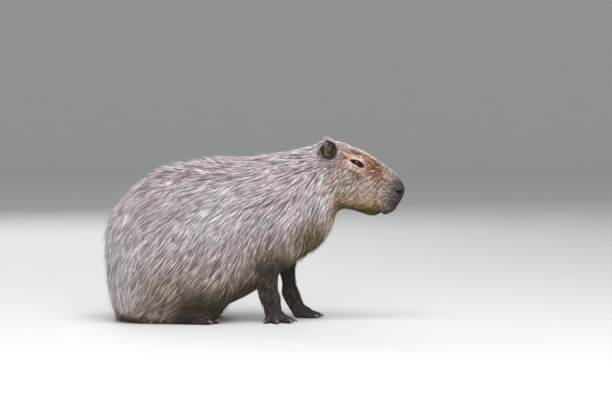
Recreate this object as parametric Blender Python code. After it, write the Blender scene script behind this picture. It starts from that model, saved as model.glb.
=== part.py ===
"""A capybara sitting on its haunches, life size, as a still model.

Metres, +Z up. The nose points along +X and the animal's left side is +Y. The origin is on the floor,
under the middle of the body. The solids show the outline of the coat, out to its tips. The whole animal
is modelled as one body, and thin cuts then part it into the pieces that a person would name.
"""

import math

import bmesh
import bpy
from mathutils import Matrix, Vector

MM = 0.001
CUT = 0.3 * MM
SIDES = {"right": -1, "left": 1}

# How finely the whole animal is shaped before the cuts
VOXEL = 4.5 * MM
SMOOTHING_PASSES = 36
SMOOTHING_STRENGTH = 0.6
FIRM_SMOOTHING = 0.12
BODY_TRIANGLES = 3000
FIRM_DETAIL = 1.5e-5
SECTION_POINTS = 40
STEPS_BETWEEN_FRAMES = 4
SHARP_ANGLE = 50
# Where smoothing sets in and where it is full, in millimetres. The head, the forelegs and the feet keep
# their shape.
SOFT_ABOVE_FOREFEET = (70, 130)
SOFT_BEHIND_HEAD = (230, 150)
SOFT_BEHIND_FORELEGS = (-20, -60)
SOFT_ABOVE_HIND_FEET = (30, 70)

# Each row is one frame of the body from the rump to the nose, like the frames of a boat: its top point
# and its bottom point in the side view as (x, z), then half its width, all in millimetres, then how
# square the frame is (2 is an ellipse) and how much wider it is low down than high up.
BODY_FRAMES = {
    "rump_back": ((-445, 290), (-444, 200), 58, 2.0, 0.00),
    "rump_upper": ((-421, 336), (-434, 98), 104, 2.1, 0.06),
    "rump": ((-388, 376), (-420, 12), 138, 2.2, 0.12),
    "hips": ((-340, 421), (-388, -8), 162, 2.3, 0.15),
    "croup": ((-272, 460), (-314, -6), 177, 2.3, 0.16),
    "loin": ((-190, 478), (-226, 14), 181, 2.3, 0.15),
    "mid_back": ((-112, 487), (-150, 24), 177, 2.2, 0.12),
    "ribs": ((-48, 488), (-76, 44), 166, 2.2, 0.08),
    "girth": ((12, 495), (-8, 76), 153, 2.2, 0.04),
    "shoulder": ((62, 504), (52, 122), 144, 2.2, 0.02),
    "withers": ((106, 512), (126, 170), 131, 2.2, 0.02),
    "neck_base": ((140, 519), (182, 208), 114, 2.2, 0.04),
    "neck": ((170, 527), (220, 250), 99, 2.2, 0.06),
    "nape": ((196, 536), (244, 293), 87, 2.3, 0.08),
    "ears": ((224, 540), (258, 330), 80, 2.4, 0.12),
    "temple": ((258, 536), (288, 332), 76, 2.5, 0.16),
    "eyes": ((292, 523), (321, 321), 70, 2.6, 0.16),
    "cheek": ((328, 508), (350, 318), 63, 2.6, 0.12),
    "bridge": ((363, 487), (376, 318), 58, 2.8, 0.08),
    "muzzle": ((396, 464), (398, 321), 56, 3.0, 0.04),
    "nose": ((423, 444), (416, 331), 52, 3.0, 0.02),
    "nose_front": ((441, 421), (436, 351), 44, 2.8, 0.00),
    "nose_tip": ((450, 403), (448, 373), 30, 2.4, 0.00),
}
RUMP_END = (-447, 244)
NOSE_END = (453, 390)

# Rounded masses that the frames leave out: centre and half sizes in millimetres on the left side, and
# how far the front end is turned down, in degrees
MASSES = {
    "haunch": ((-262, 112, 178), (152, 86, 164), 0),
    "knee": ((-158, 120, 114), (110, 66, 102), 16),
    "seat": ((-338, 84, 96), (84, 86, 104), 0),
    "shoulder": ((60, 84, 292), (96, 64, 132), -12),
    "jowl": ((268, 44, 392), (56, 38, 54), 28),
    "eye_mound": ((304, 44, 475), (37, 21, 26), 27),
    "upper_lip": ((392, 27, 355), (40, 29, 37), 0),
    "chin": ((352, 14, 336), (34, 28, 24), 10),
}
TAIL_CENTRE = (-428, 0, 104)
TAIL_HALF_SIZE = (13, 11, 22)
TAIL_TURN = -25

# Forelegs from the shoulder to the wrist, as (x, y, z, half depth, half width) in millimetres. The right
# one stands upright and the left one reaches a little forward.
FORELEGS = {
    "right": (
        (50, 96, 300, 62, 46),
        (42, 100, 230, 58, 44),
        (38, 92, 172, 50, 37),
        (40, 86, 120, 38, 29),
        (50, 83, 76, 29, 25),
        (57, 81, 40, 27, 26),
        (60, 80, 18, 24, 25),
    ),
    "left": (
        (84, 96, 300, 58, 46),
        (90, 98, 230, 52, 42),
        (94, 88, 172, 40, 34),
        (103, 80, 122, 25, 26),
        (110, 74, 74, 26, 24),
        (124, 71, 42, 24, 25),
        (138, 70, 20, 21, 26),
    ),
}

# A foot's toes fan out from its heel on the floor. A paw is given by its heel (x, y), its yaw in degrees
# and how widely its toes are spread.
PAWS = {"right": ((60, 80), -56, 1.45), "left": ((134, 70), 5, 0.85)}
HIND_FEET = {"right": ((-296, 112), -7, 1.0), "left": ((-296, 112), 7, 1.0)}

# Each toe starts so far ahead of the heel and to its outer side, is so long, splays outwards by so many
# degrees and is half so wide
FORE_TOES = {
    "outer": (4, 19, 38, 36, 9.5),
    "third": (9, 9, 58, 14, 11),
    "second": (10, -5, 62, -8, 11),
    "inner": (6, -17, 50, -27, 10),
}
HIND_TOES = {
    "outer": (134, 21, 42, 14, 11.5),
    "middle": (140, 0, 54, 0, 12.5),
    "inner": (134, -20, 42, -13, 11.5),
}
# A toe is a bent finger: at each share of its length, the height of its middle and its half thickness, in
# half widths
TOE_BEND = ((-0.25, 1.6, 1.05), (0.1, 1.5, 1.12), (0.4, 1.2, 1.08), (0.7, 0.85, 1.0), (0.92, 0.66, 0.8))
TOE_TAIL = -0.35
TOE_SQUARE = 2.2
PALM_HALF_SIZE = (31, 31, 21)
PALM_MIDDLE_AHEAD = 10.3
PALM_MIDDLE_HEIGHT = 15.75
# The hind sole, as (distance from the heel, half height, half width), then the points that close it
# behind and ahead, as (distance from the heel, height)
HIND_SOLE = ((0, 20, 24), (40, 24, 27), (90, 23, 30), (130, 19, 35), (152, 15, 34))
HIND_SOLE_ENDS = ((-16, 20), (166, 15))
# The sole's middle, as a share of its half height. Under 1, the sole dips into the floor and is cut flat.
HIND_SOLE_MIDDLE = 0.84
SOLE_SQUARE = 2.3

# Blunt claws over the toe tips, as (distance from the claw's root, half width, half height), then where
# the points that close them lie. A claw's root is at a share of the toe's length and at a height given in
# half widths of the toe.
CLAW_SHAPE = ((0, 4.6, 3.2), (8, 5.7, 4.5), (17, 3.8, 3.0))
CLAW_ENDS = (-2, 18.5)
CLAW_START = 0.8
CLAW_HEIGHT = 1.05
CLAW_SLOPE = 0.32
CLAW_POINTS = 6

# Eyes, looking out to the sides
EYE_RADIUS = 15 * MM
EYE_POINTS = 12
EYE_CENTRE = (306, 50, 470)

# Ears: a shallow cup on each side, whose open face looks outwards and forwards
EAR_CENTRE = {"right": (222, 67, 513), "left": (224, 67, 525)}
EAR_HALF_WIDTH = 29
EAR_HALF_HEIGHT = 30
EAR_BACK_DEPTH = 19
EAR_CUP_DEPTH = 12
EAR_RIM = 2.4
EAR_FILL = 14
EAR_ROOM = 0.9 * MM
EAR_FACING = (0.40, 0.86, 0.30)
EAR_NOTCH_ANGLE = 128
EAR_NOTCH_WIDTH = 17
EAR_NOTCH_DEPTH = 0.30
EAR_POINTS = 20
EAR_RINGS = 3

# Where the cuts run. Planes are (point, normal) in the side view as (x, z).
CUTS = {
    "muzzle": ((382, 400), (1, -0.06)),
    "head": ((222, 420), (1, 0.32)),
    "neck": ((146, 350), (1, 0.16)),
}
FORELEG_BOX = ((12, 18, -60), (240, 210, 88))
WRIST_HEIGHT = 32
SHOULDER_CUTTERS = {
    "right": ((50, 108, 195), (86, 74, 165), -8),
    "left": ((95, 103, 192), (88, 78, 168), -4),
}
HIND_FOOT_BOX = ((-24, -48, -60), (215, 48, 27))
THIGH_CUTTER = ((-205, 172, 120), (178, 112, 168), 12)
TAIL_CUTTER = ((-440, 0, 100), (34, 26, 36), 0)

# Colours as linear red, green and blue, with roughness
FINISHES = {
    "back_fur": ((0.40, 0.33, 0.31), 0.75),
    "rump_fur": ((0.37, 0.29, 0.24), 0.75),
    "flank_fur": ((0.36, 0.29, 0.22), 0.75),
    "head_fur": ((0.42, 0.28, 0.21), 0.75),
    "muzzle_skin": ((0.09, 0.085, 0.095), 0.6),
    "leg_fur": ((0.085, 0.062, 0.05), 0.75),
    "foot_skin": ((0.05, 0.047, 0.05), 0.6),
    "ear_skin": ((0.06, 0.042, 0.036), 0.6),
    "eye": ((0.008, 0.006, 0.006), 0.08),
    "claw": ((0.11, 0.09, 0.08), 0.4),
}


def mirrored(point, side):
    """A point of the left side in metres, moved to the side that is asked for."""
    return Vector((point[0], point[1] * side, point[2])) * MM


def mesh_from(bm, name):
    bmesh.ops.recalc_face_normals(bm, faces=bm.faces)
    mesh = bpy.data.meshes.new(name)
    bm.to_mesh(mesh)
    bm.free()
    return mesh


def evaluated(thing, name):
    """The mesh of an object as its modifiers leave it. The object is removed."""
    bpy.context.view_layer.update()
    graph = bpy.context.evaluated_depsgraph_get()
    mesh = bpy.data.meshes.new_from_object(thing.evaluated_get(graph))
    mesh.name = name
    bpy.data.objects.remove(thing)
    return mesh


def linked(name, mesh):
    thing = bpy.data.objects.new(name, mesh)
    bpy.context.collection.objects.link(thing)
    return thing


def carved(mesh, cutter, keep_inside=False):
    """What is left of the mesh outside the cutter, or inside it."""
    thing = linked("carving", mesh)
    tool = linked("cutter", cutter)
    boolean = thing.modifiers.new("cut", "BOOLEAN")
    boolean.operation = "INTERSECT" if keep_inside else "DIFFERENCE"
    boolean.solver = "EXACT"
    boolean.object = tool
    result = evaluated(thing, mesh.name)
    bpy.data.objects.remove(tool)
    return result


def cut_in_two(mesh, cutter_at):
    """The part inside a cutter, and the rest outside it, a thin cut apart."""
    inside = carved(mesh, cutter_at(0), keep_inside=True)
    outside = carved(mesh, cutter_at(CUT))
    return inside, outside


def half_of(mesh, point, normal):
    """The part of a closed mesh on the side that the normal points to, capped flat."""
    bm = bmesh.new()
    bm.from_mesh(mesh)
    everything = [*bm.verts, *bm.edges, *bm.faces]
    cut = bmesh.ops.bisect_plane(bm, geom=everything, plane_co=point, plane_no=normal, clear_inner=True)
    rim = [part for part in cut["geom_cut"] if isinstance(part, bmesh.types.BMEdge)]
    bmesh.ops.holes_fill(bm, edges=rim, sides=0)
    bmesh.ops.triangulate(bm, faces=bm.faces)
    return mesh_from(bm, mesh.name)


def split_by_plane(mesh, name):
    """The parts ahead of and behind one of the named planes, a thin cut apart."""
    (x, z), (nx, nz) = CUTS[name]
    point = Vector((x, 0, z)) * MM
    normal = Vector((nx, 0, nz)).normalized()
    ahead = half_of(mesh, point + normal * CUT / 2, normal)
    behind = half_of(mesh, point - normal * CUT / 2, -normal)
    return ahead, behind


def smooth_steps(rows, steps):
    """The rows with steps to each interval, on a Catmull-Rom curve through them all."""
    padded = [Vector(row) for row in (rows[0], *rows, rows[-1])]
    result = []
    for a, b, c, d in zip(padded, padded[1:], padded[2:], padded[3:]):
        for k in range(steps):
            t = k / steps
            bend = 2 * a - 5 * b + 4 * c - d
            twist = 3 * b - a - 3 * c + d
            result.append((2 * b + (c - a) * t + bend * t**2 + twist * t**3) / 2)
    result.append(padded[-1])
    return result


def signed_power(value, power):
    return math.copysign(abs(value) ** power, value)


def section(centre, up, across, half_height, half_width, square=2, low_wide=0, count=SECTION_POINTS):
    """The points of one closed frame: a superellipse that may be wider low down."""
    points = []
    for k in range(count):
        angle = 2 * math.pi * k / count
        sideways = signed_power(math.cos(angle), 2 / square)
        upwards = signed_power(math.sin(angle), 2 / square)
        width = half_width * (1 - low_wide * upwards)
        points.append(centre + across * sideways * width + up * upwards * half_height)
    return points


def skin_over(bm, rings, tail, tip):
    """Faces from ring to ring, closed by a point at each end."""
    loops = [[bm.verts.new(point) for point in ring] for ring in rings]
    count = len(loops[0])
    for near, far in zip(loops, loops[1:]):
        for k in range(count):
            n = (k + 1) % count
            bm.faces.new((near[k], near[n], far[n], far[k]))
    for ring, point in ((loops[0], tail), (loops[-1], tip)):
        end = bm.verts.new(point)
        for k in range(count):
            bm.faces.new((ring[k], ring[(k + 1) % count], end))


def add_body(bm):
    """Rump, trunk, neck and head as one run of frames."""
    rows = [
        (*top, *bottom, half_width, square, low_wide)
        for top, bottom, half_width, square, low_wide in BODY_FRAMES.values()
    ]
    rings = []
    across = Vector((0, 1, 0))
    for step in smooth_steps(rows, STEPS_BETWEEN_FRAMES):
        top_x, top_z, bottom_x, bottom_z, half_width, square, low_wide = step
        top = Vector((top_x, 0, top_z)) * MM
        bottom = Vector((bottom_x, 0, bottom_z)) * MM
        up = top - bottom
        size = (up.length / 2, half_width * MM)
        rings.append(section((top + bottom) / 2, up.normalized(), across, *size, square, low_wide))
    tail = Vector((RUMP_END[0], 0, RUMP_END[1])) * MM
    tip = Vector((NOSE_END[0], 0, NOSE_END[1])) * MM
    skin_over(bm, rings, tail, tip)


def add_foreleg(bm, side_name):
    rows = [(x, y * SIDES[side_name], z, deep, wide) for x, y, z, deep, wide in FORELEGS[side_name]]
    steps = smooth_steps(rows, STEPS_BETWEEN_FRAMES)
    centres = [Vector(step[:3]) * MM for step in steps]
    rings = []
    for k, step in enumerate(steps):
        before = centres[max(k - 1, 0)]
        after = centres[min(k + 1, len(centres) - 1)]
        along = (after - before).normalized()
        forward = Vector((0, 1, 0)).cross(along).normalized()
        rings.append(section(centres[k], forward, along.cross(forward), step[3] * MM, step[4] * MM))
    tail = centres[0] * 2 - centres[1]
    tip = centres[-1] * 2 - centres[-2]
    skin_over(bm, rings, tail, tip)


def add_ellipsoid(bm, centre, half_size, turn=0.0, yaw=0.0, around=32, upwards=20):
    """An ellipsoid in metres, its front end turned down by turn degrees, then yawed about Z."""
    place = (
        Matrix.Translation(centre)
        @ Matrix.Rotation(math.radians(yaw), 4, "Z")
        @ Matrix.Rotation(math.radians(turn), 4, "Y")
        @ Matrix.Diagonal((*half_size, 1))
    )
    bmesh.ops.create_uvsphere(bm, u_segments=around, v_segments=upwards, radius=1, matrix=place)


def toe_line(foot, side, toe):
    """The root and the tip of a toe on the floor, and its half width, in metres."""
    heel, yaw, spread = foot
    ahead, outside, length, splay, half_width = toe
    turn = math.radians(yaw)
    forward = Vector((math.cos(turn), math.sin(turn), 0))
    sideways = Vector((-math.sin(turn), math.cos(turn), 0)) * side
    out = math.radians(yaw + splay * spread * side)
    way = Vector((math.cos(out), math.sin(out), 0))
    root = mirrored((*heel, 0), side) + (forward * ahead + sideways * outside) * MM
    return root, root + way * length * MM, half_width * MM


def toes_of(foot_name, side_name):
    """The toes of one foot, as name: (root, tip, half width)."""
    feet, toes = (PAWS, FORE_TOES) if foot_name == "fore" else (HIND_FEET, HIND_TOES)
    return {name: toe_line(feet[side_name], SIDES[side_name], toe) for name, toe in toes.items()}


def add_toe(bm, root, tip, half_width):
    along = tip - root
    across = Vector((0, 0, 1)).cross(along).normalized()
    rings = []
    for share, height, thick in TOE_BEND:
        centre = root + along * share + Vector((0, 0, height * half_width))
        up = along.cross(across).normalized()
        size = thick * half_width
        rings.append(section(centre, up, across, size, size, TOE_SQUARE))
    tail = root + along * TOE_TAIL + Vector((0, 0, TOE_BEND[0][1] * half_width))
    end = tip + Vector((0, 0, TOE_BEND[-1][1] * half_width))
    skin_over(bm, rings, tail, end)


def add_paw(bm, side_name):
    """The palm of a forefoot."""
    heel, yaw, _ = PAWS[side_name]
    turn = math.radians(yaw)
    centre = mirrored((*heel, PALM_MIDDLE_HEIGHT), SIDES[side_name])
    centre += Vector((math.cos(turn), math.sin(turn), 0)) * PALM_MIDDLE_AHEAD * MM
    add_ellipsoid(bm, centre, Vector(PALM_HALF_SIZE) * MM, yaw=yaw)


def add_hind_sole(bm, side_name):
    """The long sole of a hind foot, flat on the floor."""
    heel, yaw, _ = HIND_FEET[side_name]
    turn = math.radians(yaw)
    forward = Vector((math.cos(turn), math.sin(turn), 0))
    across = Vector((-math.sin(turn), math.cos(turn), 0))
    up = Vector((0, 0, 1))
    start = mirrored((*heel, 0), SIDES[side_name])
    rings = []
    for ahead, half_height, half_width in HIND_SOLE:
        centre = start + (forward * ahead + up * half_height * HIND_SOLE_MIDDLE) * MM
        rings.append(section(centre, up, across, half_height * MM, half_width * MM, SOLE_SQUARE))
    ends = [start + (forward * ahead + up * height) * MM for ahead, height in HIND_SOLE_ENDS]
    skin_over(bm, rings, *ends)


def share_between(value, start, end):
    """0 up to the start and 1 from the end on, with an even rise between them."""
    return min(max((value - start) / (end - start), 0), 1)


def softness(point):
    """How much a place is smoothed: all on the trunk, a little on the head and the feet."""
    x, z = point.x / MM, point.z / MM
    front = share_between(z, *SOFT_ABOVE_FOREFEET) * share_between(x, *SOFT_BEHIND_HEAD)
    rear = share_between(z, *SOFT_ABOVE_HIND_FEET) * share_between(x, *SOFT_BEHIND_FORELEGS)
    return FIRM_SMOOTHING + (1 - FIRM_SMOOTHING) * max(front, rear)


def whole_animal():
    """Everything but the eyes, the ears and the claws, as one closed mesh, flat where it meets the floor."""
    bm = bmesh.new()
    add_body(bm)
    for side_name, side in SIDES.items():
        add_foreleg(bm, side_name)
        add_paw(bm, side_name)
        add_hind_sole(bm, side_name)
        for centre, half_size, turn in MASSES.values():
            add_ellipsoid(bm, mirrored(centre, side), Vector(half_size) * MM, turn)
        for foot_name in ("fore", "hind"):
            for toe in toes_of(foot_name, side_name).values():
                add_toe(bm, *toe)
    add_ellipsoid(bm, Vector(TAIL_CENTRE) * MM, Vector(TAIL_HALF_SIZE) * MM, TAIL_TURN)

    thing = linked("one_skin", mesh_from(bm, "one_skin"))
    remesh = thing.modifiers.new("join", "REMESH")
    remesh.mode = "VOXEL"
    remesh.voxel_size = VOXEL
    joined = evaluated(thing, "joined")

    thing = linked("soft_skin", joined)
    group = thing.vertex_groups.new(name="soft")
    for vert in joined.vertices:
        group.add([vert.index], softness(vert.co), "REPLACE")
    smooth = thing.modifiers.new("soft_folds", "SMOOTH")
    smooth.factor = SMOOTHING_STRENGTH
    smooth.iterations = SMOOTHING_PASSES
    smooth.vertex_group = group.name
    facets = thing.modifiers.new("facets", "DECIMATE")
    facets.ratio = BODY_TRIANGLES / (2 * len(joined.polygons))
    facets.vertex_group = group.name
    facets.vertex_group_factor = FIRM_DETAIL
    return half_of(evaluated(thing, "body"), Vector((0, 0, 0)), Vector((0, 0, 1)))


def ellipsoid_cutter(cutter, side):
    """A function that gives the cutter, grown by so much all round."""
    centre, half_size, turn = cutter

    def grown(by):
        bm = bmesh.new()
        size = Vector(half_size) * MM + Vector((by, by, by))
        add_ellipsoid(bm, mirrored(centre, side), size, turn, around=12, upwards=8)
        return mesh_from(bm, "ellipsoid_cutter")

    return grown


def box_cutter(low, high, place=Matrix()):
    """A function that gives a box between two corners in millimetres, grown by so much all round."""
    low, high = Vector(low) * MM, Vector(high) * MM

    def grown(by):
        bm = bmesh.new()
        size = high - low + Vector((by, by, by)) * 2
        where = place @ Matrix.Translation((low + high) / 2) @ Matrix.Diagonal((*size, 1))
        bmesh.ops.create_cube(bm, size=1, matrix=where)
        return mesh_from(bm, "box_cutter")

    return grown


def foreleg_cutter(side):
    (x0, y0, z0), (x1, y1, z1) = FORELEG_BOX
    near, far = sorted((y0 * side, y1 * side))
    return box_cutter((x0, near, z0), (x1, far, z1))


def hind_foot_cutter(side_name):
    heel, yaw, _ = HIND_FEET[side_name]
    place = Matrix.Translation(mirrored((*heel, 0), SIDES[side_name]))
    return box_cutter(*HIND_FOOT_BOX, place @ Matrix.Rotation(math.radians(yaw), 4, "Z"))


def eye_mesh(side, grown=0.0):
    bm = bmesh.new()
    radius = EYE_RADIUS + grown
    add_ellipsoid(bm, mirrored(EYE_CENTRE, side), [radius] * 3, around=EYE_POINTS, upwards=EYE_POINTS - 5)
    return mesh_from(bm, "eye")


def ear_outline(angle):
    """The ear's reach at an angle in degrees, as a share of its half size. The notch is at its upper back."""
    off = (angle - EAR_NOTCH_ANGLE) / EAR_NOTCH_WIDTH
    return 1 - EAR_NOTCH_DEPTH * math.exp(-off * off)


def ear_mesh(side_name, hollow=True, grown=0.0):
    """A cup with a thick back and a thin rim. The form that makes room for it in the head isn't hollow."""
    side = SIDES[side_name]
    facing = mirrored(EAR_FACING, side).normalized()
    upwards = (Vector((0, 0, 1)) - facing * facing.z).normalized()
    forwards = facing.cross(upwards) * side
    centre = mirrored(EAR_CENTRE[side_name], side)

    def ring(share, depth):
        points = []
        for k in range(EAR_POINTS):
            angle = 2 * math.pi * k / EAR_POINTS
            reach = share * ear_outline(math.degrees(angle))
            out = forwards * math.cos(angle) * (EAR_HALF_WIDTH * reach * MM + grown)
            up = upwards * math.sin(angle) * (EAR_HALF_HEIGHT * reach * MM + grown)
            points.append(centre + out + up - facing * depth)
        return points

    back, front = [], []
    face_depth = (EAR_CUP_DEPTH if hollow else -EAR_FILL) * MM
    for k in range(1, EAR_RINGS + 1):
        share = math.sin(math.pi / 2 * k / EAR_RINGS)
        curve = math.cos(math.pi / 2 * k / EAR_RINGS)
        back.append(ring(share, EAR_BACK_DEPTH * curve * MM + grown))
        inner = share * (1 - EAR_RIM / EAR_HALF_WIDTH)
        front.append(ring(inner, face_depth * curve - EAR_RIM / 2 * MM - grown))
    bm = bmesh.new()
    tail = centre - facing * (EAR_BACK_DEPTH * MM + grown)
    tip = centre - facing * (face_depth - EAR_RIM / 2 * MM - grown)
    skin_over(bm, back + front[::-1], tail, tip)
    return mesh_from(bm, "ear")


def claw_mesh(root, tip, half_width, grown=0.0):
    """A blunt claw that lies over the toe's tip and slopes down to the floor."""
    along = (tip - root).normalized()
    across = Vector((0, 0, 1)).cross(along)
    slope = (along - Vector((0, 0, CLAW_SLOPE))).normalized()
    up = slope.cross(across)
    start = root + (tip - root) * CLAW_START + Vector((0, 0, half_width * CLAW_HEIGHT))
    rings = []
    for ahead, half_wide, half_high in CLAW_SHAPE:
        centre = start + slope * ahead * MM
        size = (half_high * MM + grown, half_wide * MM + grown)
        rings.append(section(centre, up, across, *size, count=CLAW_POINTS))
    bm = bmesh.new()
    tail = start + slope * (CLAW_ENDS[0] * MM - grown)
    end = start + slope * (CLAW_ENDS[1] * MM + grown)
    skin_over(bm, rings, tail, end)
    return mesh_from(bm, "claw")


def finish_of(name):
    made = bpy.data.materials.get(name)
    if made:
        return made
    colour, roughness = FINISHES[name]
    made = bpy.data.materials.new(name)
    made.use_nodes = True
    shader = made.node_tree.nodes["Principled BSDF"]
    shader.inputs["Base Color"].default_value = (*colour, 1)
    shader.inputs["Roughness"].default_value = roughness
    shader.inputs["Metallic"].default_value = 0
    made.diffuse_color = (*colour, 1)
    return made


def add_node(name, mesh, finish):
    mesh.materials.clear()
    mesh.materials.append(finish_of(finish))
    mesh.shade_smooth()
    mesh.set_sharp_from_angle(angle=math.radians(SHARP_ANGLE))
    mesh.name = name
    return linked(name, mesh)


def main():
    for thing in list(bpy.data.objects):
        bpy.data.objects.remove(thing)
    rest = whole_animal()

    for side_name, side in SIDES.items():
        add_node(f"eye_{side_name}", eye_mesh(side), "eye")
        rest = carved(rest, eye_mesh(side, CUT))
        add_node(f"ear_{side_name}", ear_mesh(side_name), "ear_skin")
        rest = carved(rest, ear_mesh(side_name, hollow=False, grown=EAR_ROOM))
        for foot_name in ("fore", "hind"):
            for toe_name, toe in toes_of(foot_name, side_name).items():
                add_node(f"claw_{foot_name}_{side_name}_{toe_name}", claw_mesh(*toe), "claw")
                rest = carved(rest, claw_mesh(*toe, CUT))

        foreleg, rest = cut_in_two(rest, foreleg_cutter(side))
        wrist = Vector((0, 0, WRIST_HEIGHT)) * MM
        upwards = Vector((0, 0, 1))
        add_node(f"forearm_{side_name}", half_of(foreleg, wrist + upwards * CUT / 2, upwards), "leg_fur")
        add_node(f"forefoot_{side_name}", half_of(foreleg, wrist - upwards * CUT / 2, -upwards), "foot_skin")
        shoulder, rest = cut_in_two(rest, ellipsoid_cutter(SHOULDER_CUTTERS[side_name], side))
        add_node(f"upper_foreleg_{side_name}", shoulder, "flank_fur")
        hind_foot, rest = cut_in_two(rest, hind_foot_cutter(side_name))
        add_node(f"hind_foot_{side_name}", hind_foot, "foot_skin")
        thigh, rest = cut_in_two(rest, ellipsoid_cutter(THIGH_CUTTER, side))
        add_node(f"thigh_{side_name}", thigh, "flank_fur")

    tail, rest = cut_in_two(rest, ellipsoid_cutter(TAIL_CUTTER, 1))
    add_node("tail", tail, "rump_fur")
    muzzle, rest = split_by_plane(rest, "muzzle")
    add_node("muzzle", muzzle, "muzzle_skin")
    head, rest = split_by_plane(rest, "head")
    add_node("head", head, "head_fur")
    neck, rest = split_by_plane(rest, "neck")
    add_node("neck", neck, "back_fur")
    add_node("trunk", rest, "back_fur")


main()
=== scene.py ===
"""A capybara sitting on its haunches: skin, coat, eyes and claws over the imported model."""

import math

import bmesh
import bpy
import numpy as np
from mathutils import Matrix, Vector
from mathutils.bvhtree import BVHTree
from mathutils.kdtree import KDTree


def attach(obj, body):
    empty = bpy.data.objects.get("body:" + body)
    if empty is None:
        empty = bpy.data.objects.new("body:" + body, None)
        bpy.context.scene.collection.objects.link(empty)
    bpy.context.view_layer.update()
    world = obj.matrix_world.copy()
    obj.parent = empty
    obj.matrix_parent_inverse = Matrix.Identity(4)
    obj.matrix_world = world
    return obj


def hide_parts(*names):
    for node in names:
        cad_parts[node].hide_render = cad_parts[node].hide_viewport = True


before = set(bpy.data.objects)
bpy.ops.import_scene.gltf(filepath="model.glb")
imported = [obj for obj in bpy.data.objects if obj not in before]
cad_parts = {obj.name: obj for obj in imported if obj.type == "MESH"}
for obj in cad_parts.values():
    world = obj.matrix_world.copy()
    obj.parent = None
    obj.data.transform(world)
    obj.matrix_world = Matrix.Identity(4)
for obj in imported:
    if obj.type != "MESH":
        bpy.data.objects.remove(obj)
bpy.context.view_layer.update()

MM = 0.001
RNG = np.random.default_rng(20)
SIDES = {"right": -1, "left": 1}


# Small helpers
def ramp(value, start, end):
    """0 before start and 1 after end, with a smooth step between them."""
    share = np.clip((value - start) / (end - start), 0.0, 1.0)
    return share * share * (3 - 2 * share)


def fall(value, start, end):
    return 1 - ramp(value, start, end)


def bell(value, middle, width, power=2):
    """1 at the middle, and near 0 from about twice the width away."""
    return np.exp(-(((value - middle) / width) ** power))


def unit(rows):
    return rows / np.maximum(np.linalg.norm(rows, axis=-1, keepdims=True), 1e-12)


def arrays_of(mesh):
    """A mesh as an array of points and an array of triangles."""
    mesh.calc_loop_triangles()
    points = np.empty(len(mesh.vertices) * 3)
    mesh.vertices.foreach_get("co", points)
    triangles = np.empty(len(mesh.loop_triangles) * 3, np.int32)
    mesh.loop_triangles.foreach_get("vertices", triangles)
    return points.reshape(-1, 3), triangles.reshape(-1, 3)


def mesh_of(points, triangles, name):
    mesh = bpy.data.meshes.new(name)
    mesh.vertices.add(len(points))
    mesh.vertices.foreach_set("co", np.ascontiguousarray(points, np.float32).ravel())
    mesh.loops.add(len(triangles) * 3)
    mesh.loops.foreach_set("vertex_index", np.ascontiguousarray(triangles, np.int32).ravel())
    mesh.polygons.add(len(triangles))
    mesh.polygons.foreach_set("loop_start", np.arange(0, len(triangles) * 3, 3, dtype=np.int32))
    mesh.polygons.foreach_set("use_smooth", np.ones(len(triangles), bool))
    mesh.update(calc_edges=True)
    mesh.validate()
    return mesh


def mesh_from(whole, name):
    """A bmesh as a mesh. The bmesh is used up."""
    mesh = bpy.data.meshes.new(name)
    whole.to_mesh(mesh)
    whole.free()
    return mesh


def set_colours(mesh, colours, name="coat"):
    layer = mesh.color_attributes.new(name, "FLOAT_COLOR", "POINT")
    data = np.ones((len(colours), 4), np.float32)
    data[:, :3] = colours
    layer.data.foreach_set("color", data.ravel())


def joined(meshes):
    """Several pairs of points and triangles as one."""
    starts = np.cumsum([0] + [len(points) for points, _ in meshes[:-1]])
    triangles = [faces + start for (_, faces), start in zip(meshes, starts)]
    return np.concatenate([points for points, _ in meshes]), np.concatenate(triangles)


def ring_pairs(first, rings, turns):
    """Each point of some rings with the next point of its ring."""
    return [
        (first + ring * turns + turn, first + ring * turns + (turn + 1) % turns)
        for ring in range(rings)
        for turn in range(turns)
    ]


def walls(first, rings, turns):
    """The triangles between some rings of points, two for each step round."""
    triangles = []
    for a, b in ring_pairs(first, rings - 1, turns):
        triangles += [(a, a + turns, b + turns), (a, b + turns, b)]
    return triangles


def add_object(data, name):
    thing = bpy.data.objects.new(name, data)
    bpy.context.scene.collection.objects.link(thing)
    return thing


def aim(thing, place, direction):
    """Puts a camera or a light at a place, looking in a direction."""
    thing.location = place
    thing.rotation_mode = "QUATERNION"
    thing.rotation_quaternion = direction.to_track_quat("-Z", "Y")


def normals_of(points, triangles):
    corners = points[triangles]
    crossed = np.cross(corners[:, 1] - corners[:, 0], corners[:, 2] - corners[:, 0])
    total = np.zeros_like(points)
    for axis in range(3):
        for corner in range(3):
            total[:, axis] += np.bincount(triangles[:, corner], crossed[:, axis], len(points))
    return unit(total)


def faced(points, triangles, at, out):
    """The triangles, turned over if the surface faces away from a direction at one of its points."""
    wrong = normals_of(points, triangles)[at] @ out < 0
    return triangles[:, ::-1] if wrong else triangles


def edges_of(triangles):
    pairs = np.concatenate((triangles[:, (0, 1)], triangles[:, (1, 2)], triangles[:, (2, 0)]))
    pairs.sort(axis=1)
    return np.unique(pairs, axis=0)


def spread(values, edges, passes, strength=0.5):
    """Values of the points, or the points themselves, evened out along the edges."""
    values = values.astype(float)
    flat = values.reshape(len(values), -1)
    a, b = edges.T
    count = np.maximum(np.bincount(a, minlength=len(values)) + np.bincount(b, minlength=len(values)), 1)
    strength = np.broadcast_to(strength, len(values))
    for _ in range(passes):
        for column in range(flat.shape[1]):
            data = flat[:, column]
            near = np.bincount(a, data[b], len(data)) + np.bincount(b, data[a], len(data))
            flat[:, column] = data + strength * (near / count - data)
    return flat.reshape(values.shape)


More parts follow.
